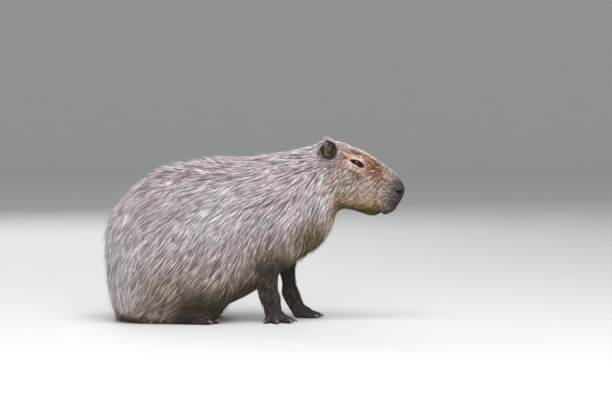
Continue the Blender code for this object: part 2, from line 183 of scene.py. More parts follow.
def evened(points, edges, passes, strength=0.5):
    """Points smoothed without losing size."""
    for _ in range(passes):
        points = spread(points, edges, 1, strength)
        points = spread(points, edges, 1, np.multiply(strength, -1.04))
    return points


# The skin's own shape: all the flesh as one surface
def both_sides(*parts):
    return [f"{part}_{side}" for part in parts for side in SIDES]


FLESH = ["trunk", "neck", "tail", *both_sides("thigh", "upper_foreleg"), "head", "muzzle"]
FLESH += both_sides("forearm", "forefoot", "hind_foot")
# Each node is taken a little larger, so that the cuts between them close
OVERLAP = {"forefoot": 0.4, "hind_foot": 0.7, "eye": 0.9, "forearm": 0.6}
BODY_OVERLAP = 1.4
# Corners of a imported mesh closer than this, in metres, are one
WELD = 1e-5
VOXEL = 3.0 * MM

EAR_CENTRE = {"right": (222, 67, 513), "left": (224, 67, 525)}
EAR_FACING = Vector((0.40, 0.86, 0.30)).normalized()
# The lump that fills each ear's bed: how far it lies behind the ear's centre, and its half sizes
EAR_BED_BACK = 21
EAR_BED_SIZES = (35, 35, 18)

# In millimetres: how far each region's skin lies under the outside of the coat, and the length, width and
# thickness of its tufts
REGIONS = {
    "trunk": (15, 92, 1.25, 0.55),
    "neck": (12, 64, 1.2, 0.5),
    "tail": (4, 26, 1.3, 0.6),
    "thigh": (14, 84, 1.25, 0.55),
    "upper_foreleg": (9, 48, 1.2, 0.5),
    "head": (4.5, 22, 0.9, 0.36),
    "muzzle": (1.6, 6.5, 1.05, 0.35),
    "forearm": (2.6, 13, 1.4, 0.45),
    "forefoot": (0.9, 6.5, 1.2, 0.35),
    "hind_foot": (0.9, 8, 1.3, 0.4),
}


def region_of(node):
    for side in SIDES:
        node = node.removesuffix("_" + side)
    return node


def ear_frame(side_name):
    """Where an ear's centre is, in millimetres, and which way the ear faces."""
    mirror = (1, SIDES[side_name], 1)
    return np.array(EAR_CENTRE[side_name]) * mirror, np.array(EAR_FACING) * mirror


def flesh_mesh():
    """The flesh nodes in one mesh, each a little larger so that they overlap, with the ears' beds filled."""
    whole = bmesh.new()
    for name in FLESH + both_sides("eye"):
        part = bmesh.new()
        part.from_mesh(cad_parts[name].data)
        bmesh.ops.remove_doubles(part, verts=part.verts, dist=WELD)
        part.normal_update()
        growth = OVERLAP.get(region_of(name), BODY_OVERLAP) * MM
        for vertex in part.verts:
            vertex.co += vertex.normal * growth
        mesh = mesh_from(part, "part")
        whole.from_mesh(mesh)
        bpy.data.meshes.remove(mesh)
    for side_name in SIDES:
        centre, facing = map(Vector, ear_frame(side_name))
        place = Matrix.Translation(centre * MM - facing * EAR_BED_BACK * MM)
        turn = facing.to_track_quat("Z", "Y").to_matrix().to_4x4()
        shape = Matrix.Diagonal((*(size * MM for size in EAR_BED_SIZES), 1))
        bmesh.ops.create_icosphere(whole, subdivisions=3, radius=1, matrix=place @ turn @ shape)
    return mesh_from(whole, "flesh")


def evaluated(thing):
    bpy.context.view_layer.update()
    graph = bpy.context.evaluated_depsgraph_get()
    mesh = bpy.data.meshes.new_from_object(thing.evaluated_get(graph))
    bpy.data.objects.remove(thing)
    return mesh


REGION_PASSES = 14


def region_weights(points, edges):
    """How far each point belongs to each region, from the nearest node, evened out over the surface."""
    nodes = [arrays_of(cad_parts[name].data) for name in FLESH]
    regions = list(REGIONS)
    owner = [regions.index(region_of(name)) for name, (_, faces) in zip(FLESH, nodes) for _ in faces]
    corners, faces = joined(nodes)
    tree = BVHTree.FromPolygons(corners.tolist(), faces.tolist())
    nearest = np.array([owner[tree.find_nearest(point)[2]] for point in points.tolist()])
    table = np.stack([nearest == index for index in range(len(regions))], axis=1)
    return dict(zip(regions, spread(table, edges, REGION_PASSES).T))


def soft_area(points):
    """1 where the coat is long and hides the skin, and 0 on the head, forelegs and feet."""
    x, y, z = (points / MM).T
    head = ramp(x, 185, 225)
    forelegs = ramp(x, 0, 20) * fall(z, 150, 190) * fall(x, 225, 235)
    hind_feet = fall(z, 45, 70) * ramp(x, -330, -310) * fall(x, -90, -70)
    return 1 - np.clip(head + forelegs + hind_feet, 0, 1)


SOFT_STEPS = 10
SKIN_KEPT = 0.36


def base_skin():
    """The flesh as one closed surface, fine on the head and feet and coarser under the long coat."""
    thing = add_object(flesh_mesh(), "flesh")
    remesh = thing.modifiers.new("remesh", "REMESH")
    remesh.mode = "VOXEL"
    remesh.voxel_size = VOXEL
    points, triangles = arrays_of(evaluated(thing))
    thing = add_object(mesh_of(points, triangles, "flesh"), "flesh")
    group = thing.vertex_groups.new(name="soft")
    soft = np.round(soft_area(points) * SOFT_STEPS)
    for step in range(SOFT_STEPS + 1):
        group.add(np.nonzero(soft == step)[0].tolist(), step / SOFT_STEPS, "REPLACE")
    thinner = thing.modifiers.new("thinner", "DECIMATE")
    thinner.ratio = SKIN_KEPT
    thinner.vertex_group = group.name
    thinner.use_collapse_triangulate = True
    return arrays_of(evaluated(thing))


CUT_ABOVE = 1.35


def refined(points, triangles, target):
    """Edges much longer than the target length at their middle are cut in two, with their triangles."""
    pairs = np.stack((triangles, np.roll(triangles, -1, axis=1)), axis=2).reshape(-1, 2)
    pairs.sort(axis=1)
    edges, which = np.unique(pairs, axis=0, return_inverse=True)
    which = which.reshape(-1, 3)
    middles = points[edges].mean(axis=1)
    length = np.linalg.norm(points[edges[:, 0]] - points[edges[:, 1]], axis=1)
    cut = length > target(middles) * CUT_ABOVE
    new = np.full(len(edges), -1)
    new[cut] = len(points) + np.arange(cut.sum())
    points = np.concatenate((points, middles[cut]))
    mids = new[which]
    count = (mids >= 0).sum(axis=1)
    result = [triangles[count == 0]]
    for turn in range(3):
        a, b, c = np.roll(triangles, -turn, axis=1).T
        ab, bc, ca = np.roll(mids, -turn, axis=1).T
        one = (count == 1) & (ab >= 0)
        result += [np.stack(t, axis=1)[one] for t in ((a, ab, c), (ab, b, c))]
        two = (count == 2) & (ca < 0)
        result += [np.stack(t, axis=1)[two] for t in ((ab, b, bc), (a, ab, bc), (a, bc, c))]
        if turn == 0:
            three = count == 3
            whole = ((a, ab, ca), (ab, b, bc), (ca, bc, c), (ab, bc, ca))
            result += [np.stack(t, axis=1)[three] for t in whole]
    return points, np.concatenate(result)


# The eye's opening, in millimetres on the left side of the head
EYE_CENTRE = np.array((306.0, 49.0, 470.0))
EYE_RADIUS = 15.0
EYE_OUT = np.array((0.17, 0.94, 0.28))
EYE_OUT /= np.linalg.norm(EYE_OUT)
SLIT_AHEAD = np.array((0.919, 0.0, -0.395))
LID_THICKNESS = 1.3
SLIT_HALF_LENGTH = 26.0
LID_POINTS = 60


def eye_axes():
    ahead = SLIT_AHEAD - EYE_OUT * SLIT_AHEAD.dot(EYE_OUT)
    ahead /= np.linalg.norm(ahead)
    up = np.cross(EYE_OUT, ahead)
    if up[2] < 0:
        up = -up
    return ahead, up


def lid_edges(along):
    """How far the upper and the lower lid's edge lies from the slit's line at a distance along it."""
    share = np.clip(along / SLIT_HALF_LENGTH, -1, 1)
    upper = 7.9 * (1 - np.abs(share) ** 2.6) ** 0.9 * (1 + 0.16 * share)
    lower = 8.2 * (1 - np.abs(share) ** 2.4) * (1 + 0.42 * share)
    return upper, lower


def eye_place(points):
    """Points of the left side, in millimetres, as (along the slit, across it, out of it) and how far they
    are outside the opening."""
    ahead, up = eye_axes()
    offset = points - EYE_CENTRE
    along, across, out = offset @ ahead, offset @ up, offset @ EYE_OUT
    stations = np.linspace(-SLIT_HALF_LENGTH, SLIT_HALF_LENGTH, LID_POINTS)
    upper, lower = lid_edges(stations)
    outline = np.concatenate((np.stack((stations, upper), 1), np.stack((stations, -lower), 1)))
    flat = np.stack((along, across), axis=1)
    distance = np.sqrt(((flat[:, None] - outline[None]) ** 2).sum(axis=2)).min(axis=1)
    upper, lower = lid_edges(along)
    inside = (across < upper) & (across > -lower) & (np.abs(along) < SLIT_HALF_LENGTH)
    return along, across, out, np.where(inside, -distance, distance)


NOSTRIL = np.array((433.0, 39.0, 386.0))
NOSTRIL_OUT = np.array((0.58, 0.81, 0.10))
NOSTRIL_OUT /= np.linalg.norm(NOSTRIL_OUT)
NOSTRIL_ALONG = np.array((0.81, -0.58, 0.04))
# The nostril's slit, in millimetres: half its length, half its width and how much it bends
NOSTRIL_SIZES = (14.0, 4.6)
NOSTRIL_BEND = 0.014
# The mouth's slit from under the upper lip to the corner, then the cheek's crease, as (x, z, depth)
MOUTH = (
    (386, 317, 3.0), (379, 325, 3.4), (368, 338, 3.2), (357, 348, 2.8),
    (345, 352, 2.4), (328, 350, 2.0), (297, 341, 1.4), (268, 336, 0.2),
)
MOUTH_STEPS = 8


def mouth_line():
    rows = np.array(MOUTH, float)
    at = np.linspace(0, len(rows) - 1, (len(rows) - 1) * MOUTH_STEPS + 1)
    return np.stack([np.interp(at, np.arange(len(rows)), rows[:, c]) for c in range(3)], axis=1)


def mouth_place(points):
    """How far points are from the mouth's line in the side view, above it or below, and its depth there."""
    line = mouth_line()
    offset = points[:, None, (0, 2)] - line[None, :, :2]
    distance = np.sqrt((offset**2).sum(axis=2))
    nearest = distance.argmin(axis=1)
    tangent = np.gradient(line[:, :2], axis=0)
    tangent /= np.linalg.norm(tangent, axis=1, keepdims=True)
    rows = np.arange(len(points))
    side = tangent[nearest, 0] * offset[rows, nearest, 1] - tangent[nearest, 1] * offset[rows, nearest, 0]
    return distance[rows, nearest], -np.sign(side), line[nearest, 2]


def nostril_place(points):
    """Points of the left side, in millimetres, as (along the nostril's slit, across it, out of it)."""
    offset = points - NOSTRIL
    along = offset @ NOSTRIL_ALONG
    across = offset @ np.cross(NOSTRIL_ALONG, NOSTRIL_OUT)
    return along, across - NOSTRIL_BEND * along**2, offset @ NOSTRIL_OUT


def left_side(points):
    """Points mirrored to the left side, in millimetres."""
    flipped = points / MM
    flipped[:, 1] = np.abs(flipped[:, 1])
    return flipped


# Places ahead of these, in millimetres, have short edges, and are carved
FINE_FROM, CARVED_FROM = 230, 225
# The longest edge there is on the face
FACE_EDGE = 6.0


def face_target(points):
    """How long an edge may be at a place on the head, in metres."""
    target = np.full(len(points), 1.0)
    near = left_side(points)
    head = near[:, 0] > FINE_FROM
    mm = near[head]
    length = np.full(len(mm), FACE_EDGE)
    mouth = mouth_place(mm)[0] + 30 * (mm[:, 2] > 420)
    for away, stations, lengths in (
        (np.abs(eye_place(mm)[3]), (0, 4, 9, 22, 40), (0.75, 0.8, 1.4, 3.0)),
        (np.linalg.norm(mm - NOSTRIL, axis=1), (0, 15, 28, 60), (1.1, 1.3, 2.6)),
        (mouth, (0, 3, 9, 30), (0.95, 1.1, 2.6)),
    ):
        length = np.minimum(length, np.interp(away, stations, (*lengths, FACE_EDGE)))
    target[head] = length * MM
    return target


def carve_face(points, triangles):
    """The mouth, the groove between the nostrils, the nostrils and the lids are worked into the head, in
    that order. Also gives how far each point lies in an eye's opening, a nostril and the mouth's line."""
    rows = np.nonzero(points[:, 0] > CARVED_FROM * MM)[0]
    normals = normals_of(points, triangles)[rows]
    side = np.where(points[rows, 1] < 0, -1.0, 1.0)
    mm = left_side(points[rows])
    normals[:, 1] *= side
    marks = {name: np.zeros(len(points)) for name in ("lid", "nostril", "lip")}

    distance, above, depth = mouth_place(mm)
    signed = distance * above
    low = fall(mm[:, 2], 372, 392)
    groove = -depth * bell(distance, 0, 1.8)
    lip = 1.4 * bell(signed, 6, 3.6) - 0.9 * bell(signed, -5, 3.6)
    lip *= ramp(mm[:, 0], 330, 370)
    fold = 1.2 * bell(signed, 8, 4.5) * fall(mm[:, 0], 340, 365)
    fold *= ramp(mm[:, 0], 262, 300)
    mm = mm + normals * ((groove + lip + fold) * low)[:, None]
    marks["lip"][rows] = bell(distance, 0, 2.4) * low * ramp(mm[:, 0], 335, 372)

    middle = bell(mm[:, 1], 0, 2.4) * ramp(mm[:, 0], 404, 425) * fall(mm[:, 2], 388, 404)
    mm = mm - normals * (2.6 * middle)[:, None]

    along, across, out = nostril_place(mm)
    near = np.abs(out) < 22
    shape = np.hypot(along / NOSTRIL_SIZES[0], across / NOSTRIL_SIZES[1])
    pit = fall(shape, 0.55, 1.12) * near
    short = bell(along, 0, 16, 4)
    wing = bell(shape, 1.6, 0.5) * near * ramp(across, -3, 3) * short
    rim = bell(shape, 1.5, 0.4) * near * 0.5 * short
    mm = mm - NOSTRIL_OUT * (7.5 * pit)[:, None] + normals * (1.9 * wing + 0.9 * rim)[:, None]
    marks["nostril"][rows] = fall(shape, 0.8, 1.25) * near

    along, across, out, lid = eye_place(mm)
    radius = EYE_RADIUS + LID_THICKNESS
    ball = np.sqrt(np.maximum(radius**2 - along**2 - across**2, 0))
    target = np.maximum(ball, out - 1.0)
    held = fall(lid, 1.0, 13.0)
    seen = np.abs(out - 14) < 16
    bead = 0.55 * bell(lid, 1.0, 0.9)
    crease = -1.5 * bell(lid, 8.5, 1.7) * (across > 0) * fall(np.abs(along), 18, 30)
    crease -= 0.8 * bell(lid, 6.5, 1.6) * (across < 0) * fall(np.abs(along), 16, 26)
    brow = 1.6 * bell(lid, 13.5, 3.6) * (across > 0) * fall(np.abs(along), 20, 36)
    sunk = 2.4 * ramp(-lid, -0.2, 1.0) + 4.0 * ramp(-lid, 0.9, 3.0)
    height = out + (target - out) * held + bead + crease + brow - sunk
    change = np.where(seen, height - out, 0)
    mm = mm + EYE_OUT * change[:, None]
    marks["lid"][rows] = fall(lid, 0.3, 1.5) * seen

    mm[:, 1] *= side
    points = points.copy()
    points[rows] = mm * MM
    return points, marks


def near_ear(points, side_name, reach):
    """How near points are to an ear, from 1 at its centre to 0 past its reach."""
    centre, _ = ear_frame(side_name)
    return fall(np.linalg.norm(points / MM - centre, axis=1), reach * 0.7, reach)


def about_ear(points, side_name):
    """How far points lie ahead of an ear's centre, the way it faces, and how far from the line through it."""
    centre, facing = ear_frame(side_name)
    offset = points / MM - centre
    height = offset @ facing
    return height, np.linalg.norm(offset - height[:, None] * facing, axis=1)


def ear_back(away, depth, radius):
    """The round back of an ear, at a distance from the line through its centre."""
    return -depth * np.sqrt(np.maximum(1 - (away / radius) ** 2, 0))


EAR_REACH = 56
# The top of the head between the ears, and how fast it falls towards the left one
CROWN_HEIGHT, CROWN_HALF, CROWN_FALL = 533, 30, 0.018


def press_ear_beds(points, edges):
    """The skin round the left ear is brought down to the head, and under each ear into the ear's back."""
    crown = CROWN_HEIGHT - CROWN_FALL * np.maximum(points[:, 1] / MM - CROWN_HALF, 0) ** 2
    around = near_ear(points, "left", EAR_REACH)
    over = np.maximum(points[:, 2] / MM - crown, 0) * (points[:, 1] > 0)
    points = points - np.outer(over * around * MM, (0, 0, 1))
    points = evened(points, edges, 8, 0.5 * around)
    for side_name in SIDES:
        height, away = about_ear(points, side_name)
        bowl = ear_back(away, 20.0, 26) - 1.0
        excess = np.where((away < 26) & (height > bowl) & (height > -30), height - bowl, 0)
        points = points - excess[:, None] * ear_frame(side_name)[1] * MM
    return points


# Passes that even the skin's shape, twice, and the depth it goes down by, which it does in steps
SHAPE_PASSES = 12
DEPTH_PASSES = 20
DEPTH_STEPS = 4
REFINEMENTS = 4


def make_skin():
    """The skin's points and triangles, and the marks that the face's openings leave on its points."""
    points, triangles = base_skin()
    edges = edges_of(triangles)
    weights = region_weights(points, edges)
    firm = weights["head"] + weights["muzzle"]
    feet = weights["forefoot"] + weights["hind_foot"]
    strength = 0.5 * (1 - 0.93 * feet) * (1 - 0.25 * weights["forearm"])
    points = evened(points, edges, SHAPE_PASSES, strength)
    points = evened(points, edges, SHAPE_PASSES, strength * (1 - firm * 0.6))
    depth = sum(
        weights[name] * (row[0] + OVERLAP.get(name, BODY_OVERLAP)) for name, row in REGIONS.items()
    )
    depth = spread(depth, edges, DEPTH_PASSES)
    for _ in range(DEPTH_STEPS):
        points = points - normals_of(points, triangles) * (depth * MM / DEPTH_STEPS)[:, None]
        points = spread(points, edges, 1, 0.25 * (1 - firm) * (1 - feet))
    for _ in range(REFINEMENTS):
        before = len(points)
        points, triangles = refined(points, triangles, face_target)
        edges = edges_of(triangles)
        fresh = np.zeros(len(points))
        fresh[before:] = 1
        fresh = np.clip(spread(fresh, edges, 2) * 3, 0, 1)
        points = evened(points, edges, 2, 0.5 * fresh)
    points = press_ear_beds(points, edges)
    points, marks = carve_face(points, triangles)
    return points, triangles, marks


# Markings, with painted shade and painted light among them, shared by the skin and the coat
def paint(red, green, blue):
    """A colour from 0 to 255 as the eye sees it, turned into linear light."""
    value = np.array((red, green, blue)) / 255
    return np.where(value > 0.04045, ((value + 0.055) / 1.055) ** 2.4, value / 12.92)


def mixed(base, colour, share):
    return base + (colour - base) * np.clip(share, 0, 1)[:, None]


def blob(x, z, centre, sizes, turn=0.0):
    """A soft round patch in the side view."""
    angle = math.radians(turn)
    u, v = x - centre[0], z - centre[1]
    a = (u * math.cos(angle) + v * math.sin(angle)) / sizes[0]
    b = (v * math.cos(angle) - u * math.sin(angle)) / sizes[1]
    return np.exp(-(a * a + b * b))


class Coats:
    """Colours of points seen from the side, each laid over the ones before."""

    def __init__(self, rgb, x, z):
        self.x, self.z = x, z
        self.colour = np.tile(paint(*rgb), (len(x), 1))

    def add(self, rgb, share, times=1):
        self.colour = mixed(self.colour, paint(*rgb) * times, share)

    def patch(self, rgb, share, *shape):
        self.add(rgb, blob(self.x, self.z, *shape) * share)


def markings_and_painted_light(points, normals):
    """The colours of skin and coat, from the place on the body, with painted shade low on the body and below
    the ears, and painted light on the flank and rump.
    """
    x, y, z = (points / MM).T
    up = normals[:, 2]
    coats = Coats((224, 202, 206), x, z)
    # Painted light: a paler patch over the middle of the flank, where it faces the light
    coats.patch((250, 231, 230), 0.9, (-150, 300), (200, 100), 15)
    # Warmer and darker low on the body: partly the coat's own colour, partly painted shade
    coats.add((168, 153, 138), fall(z, 100, 250) * 0.9)
    # Painted light: the rump painted paler towards its back end
    coats.add((244, 221, 220), fall(x, -390, -290) * 0.9)
    # Painted shade under the belly and the thigh, low down between the hind leg and the forelegs
    under = fall(z - 0.12 * (x + 190), 48, 140) * ramp(x, -255, -195) * fall(x, -15, 20)
    coats.add((64, 52, 28), under * 0.95)
    coats.add((134, 118, 86), ramp(x, 85, 165) * fall(z, 250, 345))
    coats.patch((170, 146, 120), 0.9, (55, 190), (75, 55))
    # Painted shade where the surface faces downwards, low on the body
    coats.add((104, 86, 58), ramp(-up, 0.4, 0.9) * fall(z, 250, 330) * 0.9)
    face = ramp(x, 190, 262)
    coats.add((236, 203, 192), face * 0.9)
    coats.add((190, 169, 156), face * fall(z, 400, 470))
    coats.add((192, 160, 118), ramp(x, 215, 262) * fall(z, 345, 405) * 0.6)
    # Painted shade below the ear
    coats.patch((172, 148, 140), 0.6, (252, 463), (30, 22))
    coats.patch((176, 138, 120), 0.6, (360, 468), (28, 15), -36)
    jaw = ramp(x, 215, 262) * fall(z + 0.12 * (x - 280), 330, 372)
    coats.add((94, 76, 34), jaw * 0.95)
    coats.patch((240, 212, 204), 0.8, (318, 515), (46, 9), -27)
    coats.patch((255, 226, 214), 1.1, (270, 512), (28, 13), -8)
    speckle = 0.8 + 0.45 * waves(points, 0.012, 8)
    for centre, sizes, turn, share in (
        ((343, 470), (15, 17), -30, 1.0),
        ((362, 462), (22, 16), -35, 0.9),
        ((270, 488), (14, 8), 10, 1.0),
        ((308, 501), (32, 5.5), -18, 1.2),
        ((366, 440), (30, 20), -35, 1.0),
        ((384, 416), (18, 13), -20, 0.6),
        ((296, 446), (24, 9), -22, 0.8),
        ((306, 434), (9, 12), 0, 0.8),
        ((392, 452), (22, 9), -38, 0.65),
        ((252, 500), (16, 20), 0, 0.4),
    ):
        coats.add((140, 86, 48), blob(x, z, centre, sizes, turn) * share * speckle)
    coats.patch((252, 224, 184), 1.5, (304, 487), (19, 5.5), -22)
    coats.patch((214, 186, 150), 0.7, (302, 456), (20, 3.5), -24)
    muzzle = ramp(x + 0.25 * (400 - z), 371, 421)
    mottle = 1 + 0.45 * waves(points, 0.011, 12)
    coats.add((92, 84, 84), muzzle * 0.95, mottle[:, None])
    coats.add((184, 172, 174), muzzle * ramp(z, 412, 446) * 0.8)
    nose = np.minimum(blob(x, z, (446, 378), (20, 28), 25) * 1.7, 1)
    pad = 1 - 0.45 * ramp(np.abs(y), 26, 40) * (1 - blob(x, z, (434, 384), (20, 12)))
    coats.add((42, 44, 51), nose * 0.92 * pad, (1 + 0.4 * (mottle - 1))[:, None])
    coats.add((56, 48, 46), ramp(x + 0.6 * (z - 340), 398, 428) * fall(z, 345, 385) * 0.85)
    coats.add((76, 62, 54), ramp(x, 345, 372) * fall(z, 322, 338) * 0.9)
    leg = fall(z, 160, 232) * ramp(x, -8, 22) * fall(x, 185, 240)
    coats.add((92, 79, 67), leg)
    coats.add((84, 70, 63), leg * fall(z, 50, 150))
    foot = fall(z, 26, 44) * ramp(x, -262, -225) * fall(x, -90, -60)
    coats.add((70, 62, 60), np.maximum(foot, leg * fall(z, 20, 45)) * 0.9)
    return coats.colour


# The lie of the coat
# Places in the side view as (x, z) in millimetres, with how steeply the hair runs down there, in degrees.
# It always runs backwards.
COMB = (
    (139, 488, 18), (-37, 466, 18), (-169, 470, 12), (-279, 453, 20), (-345, 418, 38), (-389, 374, 52),
    (-429, 290, 70), (-442, 229, 82), (-433, 136, 84), (-420, 48, 72), (-169, 378, 34), (-257, 343, 42),
    (-345, 312, 55), (-389, 246, 66), (-81, 334, 37), (7, 387, 28), (73, 431, 27), (51, 312, 42),
    (117, 325, 44), (161, 356, 54), (183, 268, 74), (117, 246, 56), (51, 224, 52), (-125, 224, 57),
    (-213, 246, 56), (-37, 202, 60), (-37, 114, 58), (-213, 114, 50), (-169, 61, 36), (-279, 48, 48),
    (-81, 88, 44), (-345, 158, 68), (-398, 92, 76), (-279, 180, 60), (345, 378, 34), (367, 413, 38),
    (299, 424, 42), (253, 447, 40), (345, 492, -26), (276, 525, -12), (425, 443, -48), (409, 390, 30),
    (390, 344, 38), (436, 367, 62), (161, 505, 22), (230, 475, 30), (184, 401, 58), (161, 355, 60),
    (253, 332, 38), (299, 344, 26), (239, 310, 80), (333, 321, 15), (241, 390, 48), (207, 436, 46),
)
# The heels that the hair on the feet runs away from, as (x, y): right and left fore foot, and left hind foot
FORE_HEELS = np.array(((60.0, -80.0), (134.0, 70.0)))
HIND_HEEL = (-296, 112)


# How far the stations of the comb blend into each other, in square millimetres
COMB_BLEND = 150.0


def lie_of_coat(points, normals, legs, feet):
    """The way the hair runs at points near the skin, along the surface."""
    mm = points / MM
    stations = np.array(COMB, float)
    gap = (mm[:, None, 0] - stations[:, 0]) ** 2 + (mm[:, None, 2] - stations[:, 1]) ** 2
    pull = 1 / (gap + COMB_BLEND) ** 2
    angle = np.radians(stations[:, 2])
    total = pull.sum(axis=1)
    back, down = ((pull * -turn(angle)).sum(axis=1) / total for turn in (np.cos, np.sin))
    run = unit(np.stack((back, np.zeros(len(mm)), down), axis=1))
    run = run * (1 - legs)[:, None] + np.array((-0.12, 0, -1.0)) * legs[:, None]
    heel = np.where(mm[:, 1:2] < 0, *FORE_HEELS)
    hind = mm[:, 0] < -20
    heel[hind, 0] = HIND_HEEL[0]
    heel[hind, 1] = np.sign(mm[hind, 1]) * HIND_HEEL[1]
    along = np.zeros_like(run)
    along[:, :2] = unit(mm[:, :2] - heel)
    along[:, 2] = -0.25
    run = run * (1 - feet)[:, None] + along * feet[:, None]
    run = run - normals * (run * normals).sum(axis=1, keepdims=True)
    return unit(run)


def turned(run, normals, angle):
    """Directions turned about the normals."""
    return run * np.cos(angle)[:, None] + np.cross(normals, run) * np.sin(angle)[:, None]


WAVES = 9
WAVES_PEAK = 4.2


def waves(points, scale, seed):
    """Smooth noise, mostly from -1 to 1, made of a few waves in different directions."""
    rng = np.random.default_rng(seed)
    total = np.zeros(len(points))
    for _ in range(WAVES):
        direction = unit(rng.normal(size=3))
        pace = 2 * math.pi / (scale * rng.uniform(0.6, 1.6))
        total += np.sin(points @ direction * pace + rng.uniform(0, 6.3))
    return total / WAVES_PEAK


class Surface:
    """The skin, ready to be asked for its nearest point and smooth normal."""

    def __init__(self, points, triangles):
        self.points = points
        self.triangles = triangles
        self.normals = normals_of(points, triangles)
        self.tree = BVHTree.FromPolygons(points.tolist(), triangles.tolist())

    def nearest(self, points):
        place = np.empty_like(points)
        face = np.empty(len(points), int)
        find = self.tree.find_nearest
        for index, point in enumerate(points.tolist()):
            hit = find(point)
            place[index] = hit[0]
            face[index] = hit[2]
        corners = self.triangles[face]
        share = 1 / (np.linalg.norm(self.points[corners] - place[:, None], axis=2) + 1e-5)
        share /= share.sum(axis=1, keepdims=True)
        return place, unit((self.normals[corners] * share[:, :, None]).sum(axis=1)), face

    def blend(self, values, face):
        return values[self.triangles[face]].mean(axis=1)


# More roots are thrown than there are cells of the spacing, and one in each cell stays
OVERSOWN = 1.9
CELL = 0.86


def sown(surface, spacing, share):
    """Root places over the skin: about one in each square of the spacing, only where the share is chosen."""
    corners = surface.points[surface.triangles]
    area = np.linalg.norm(np.cross(corners[:, 1] - corners[:, 0], corners[:, 2] - corners[:, 0]), axis=1) / 2
    area = area * share
    count = int(area.sum() / spacing**2 * OVERSOWN)
    face = RNG.choice(len(area), count, p=area / area.sum())
    a, b = RNG.random((2, count, 1))
    flip = a + b > 1
    a, b = np.where(flip, 1 - a, a), np.where(flip, 1 - b, b)
    picked = corners[face]
    places = picked[:, 0] + a * (picked[:, 1] - picked[:, 0]) + b * (picked[:, 2] - picked[:, 0])
    cells = np.floor(places / (spacing * CELL)).astype(np.int64)
    _, first = np.unique(cells @ np.array((1, 100003, 10000600009)), return_index=True)
    first.sort()
    return places[first], face[first]


UNWRAP_KEPT = 0.03


def unwrapped(points, triangles):
    """A coarse copy of the skin and the place of each of its corners on its unwrap."""
    thing = add_object(mesh_of(points, triangles, "unwrap"), "unwrap")
    thinner = thing.modifiers.new("thinner", "DECIMATE")
    thinner.ratio = UNWRAP_KEPT
    coarse = add_object(evaluated(thing), "unwrap")
    bpy.ops.object.select_all(action="DESELECT")
    bpy.context.view_layer.objects.active = coarse
    coarse.select_set(True)
    bpy.ops.object.mode_set(mode="EDIT")
    bpy.ops.mesh.select_all(action="SELECT")
    bpy.ops.uv.smart_project(angle_limit=math.radians(60), island_margin=0.004)
    bpy.ops.object.mode_set(mode="OBJECT")
    mesh = coarse.data
    flat = np.empty(len(mesh.loops) * 2)
    mesh.uv_layers.active.data.foreach_get("uv", flat)
    corners, faces = arrays_of(mesh)
    loops = np.empty(len(mesh.loop_triangles) * 3, np.int32)
    mesh.loop_triangles.foreach_get("loops", loops)
    flat = flat.reshape(-1, 2)[loops].reshape(-1, 3, 2)
    bpy.data.objects.remove(coarse)
    return corners, faces, flat


def unwrap_places(unwrap, points):
    corners, faces, flat = unwrap
    tree = BVHTree.FromPolygons(corners.tolist(), faces.tolist())
    places = np.empty((len(points), 2))
    for index, point in enumerate(points.tolist()):
        hit, _, face, _ = tree.find_nearest(point)
        a, b, c = corners[faces[face]]
        side, other, offset = b - a, c - a, np.array(hit) - a
        d00, d01, d11 = side @ side, side @ other, other @ other
        d20, d21 = offset @ side, offset @ other
        whole = d00 * d11 - d01 * d01
        v, w = 0, 0
        if whole > 1e-18:
            v, w = (d11 * d20 - d01 * d21) / whole, (d00 * d21 - d01 * d20) / whole
        places[index] = flat[face].T @ (1 - v - w, v, w)
    return places


# The side of each tuft's patch on the unwrap
PATCH = 0.003
TUFT_RINGS = 2


def tuft_pattern():
    """The triangles over a tuft's two rings of three corners and its tip, and their corners in its patch."""
    faces, flat = [], []
    for a in range(3):
        b, left, right = (a + 1) % 3, a / 3, (a + 1) / 3
        faces += [(a, b + 3, b), (a, a + 3, b + 3)]
        flat += [((left, 0), (right, 0.5), (right, 0)), ((left, 0), (left, 0.5), (right, 0.5))]
    for a in range(3):
        left, right = a / 3, (a + 1) / 3
        faces.append((a + 3, 6, (a + 1) % 3 + 3))
        flat.append(((left, 0.5), ((left + right) / 2, 0.93), (right, 0.5)))
    faces.append((0, 1, 2))
    flat.append(((0, 1), (0.02, 0.95), (0, 0.95)))
    return np.array(faces), np.array(flat)


def tuft_mesh(name, centres, sides, ups, widths, heights, colours, places):
    """Tufts in one mesh. centres is (tufts, 3, 3), with the tip last. Each ring has two lower corners and
    one on top, and each tuft has its own small patch on the unwrap."""
    count = len(centres)
    ring = centres[:, :TUFT_RINGS]
    half = sides[:, :TUFT_RINGS] * widths[:, :, None] / 2
    top = ups[:, :TUFT_RINGS] * heights[:, :, None]
    corners = np.stack((ring - half, ring + top, ring + half), axis=2).reshape(count, -1, 3)
    points = np.concatenate((corners, centres[:, TUFT_RINGS:]), axis=1)
    faces, flat = tuft_pattern()
    every = (faces[None] + np.arange(count)[:, None, None] * points.shape[1]).reshape(-1, 3)
    mesh = mesh_of(points.reshape(-1, 3), every, name)
    uv = mesh.uv_layers.new(name="OFBake")
    spots = (places[:, None, None] - PATCH / 2 + flat[None] * PATCH).reshape(-1, 2)
    uv.data.foreach_set("uv", np.clip(spots, 0, 1).astype(np.float32).ravel())
    set_colours(mesh, np.repeat(colours, [3] * TUFT_RINGS + [1], axis=1).reshape(-1, 3))
    return mesh


# Ears: a cup with a notched rim, folds inside and a thick root
EAR_TURNS = 96
EAR_BACK_RINGS = 12
EAR_CUP_RINGS = 22
# In millimetres: half the ear's length and half its height, how thick its back is and how deep its cup
EAR_HALF = (27, 28)
EAR_BACK = 24
EAR_CUP = 12
# Points less deep than this, but not on the rim, are on the ear's back
EAR_BEHIND = 0.2


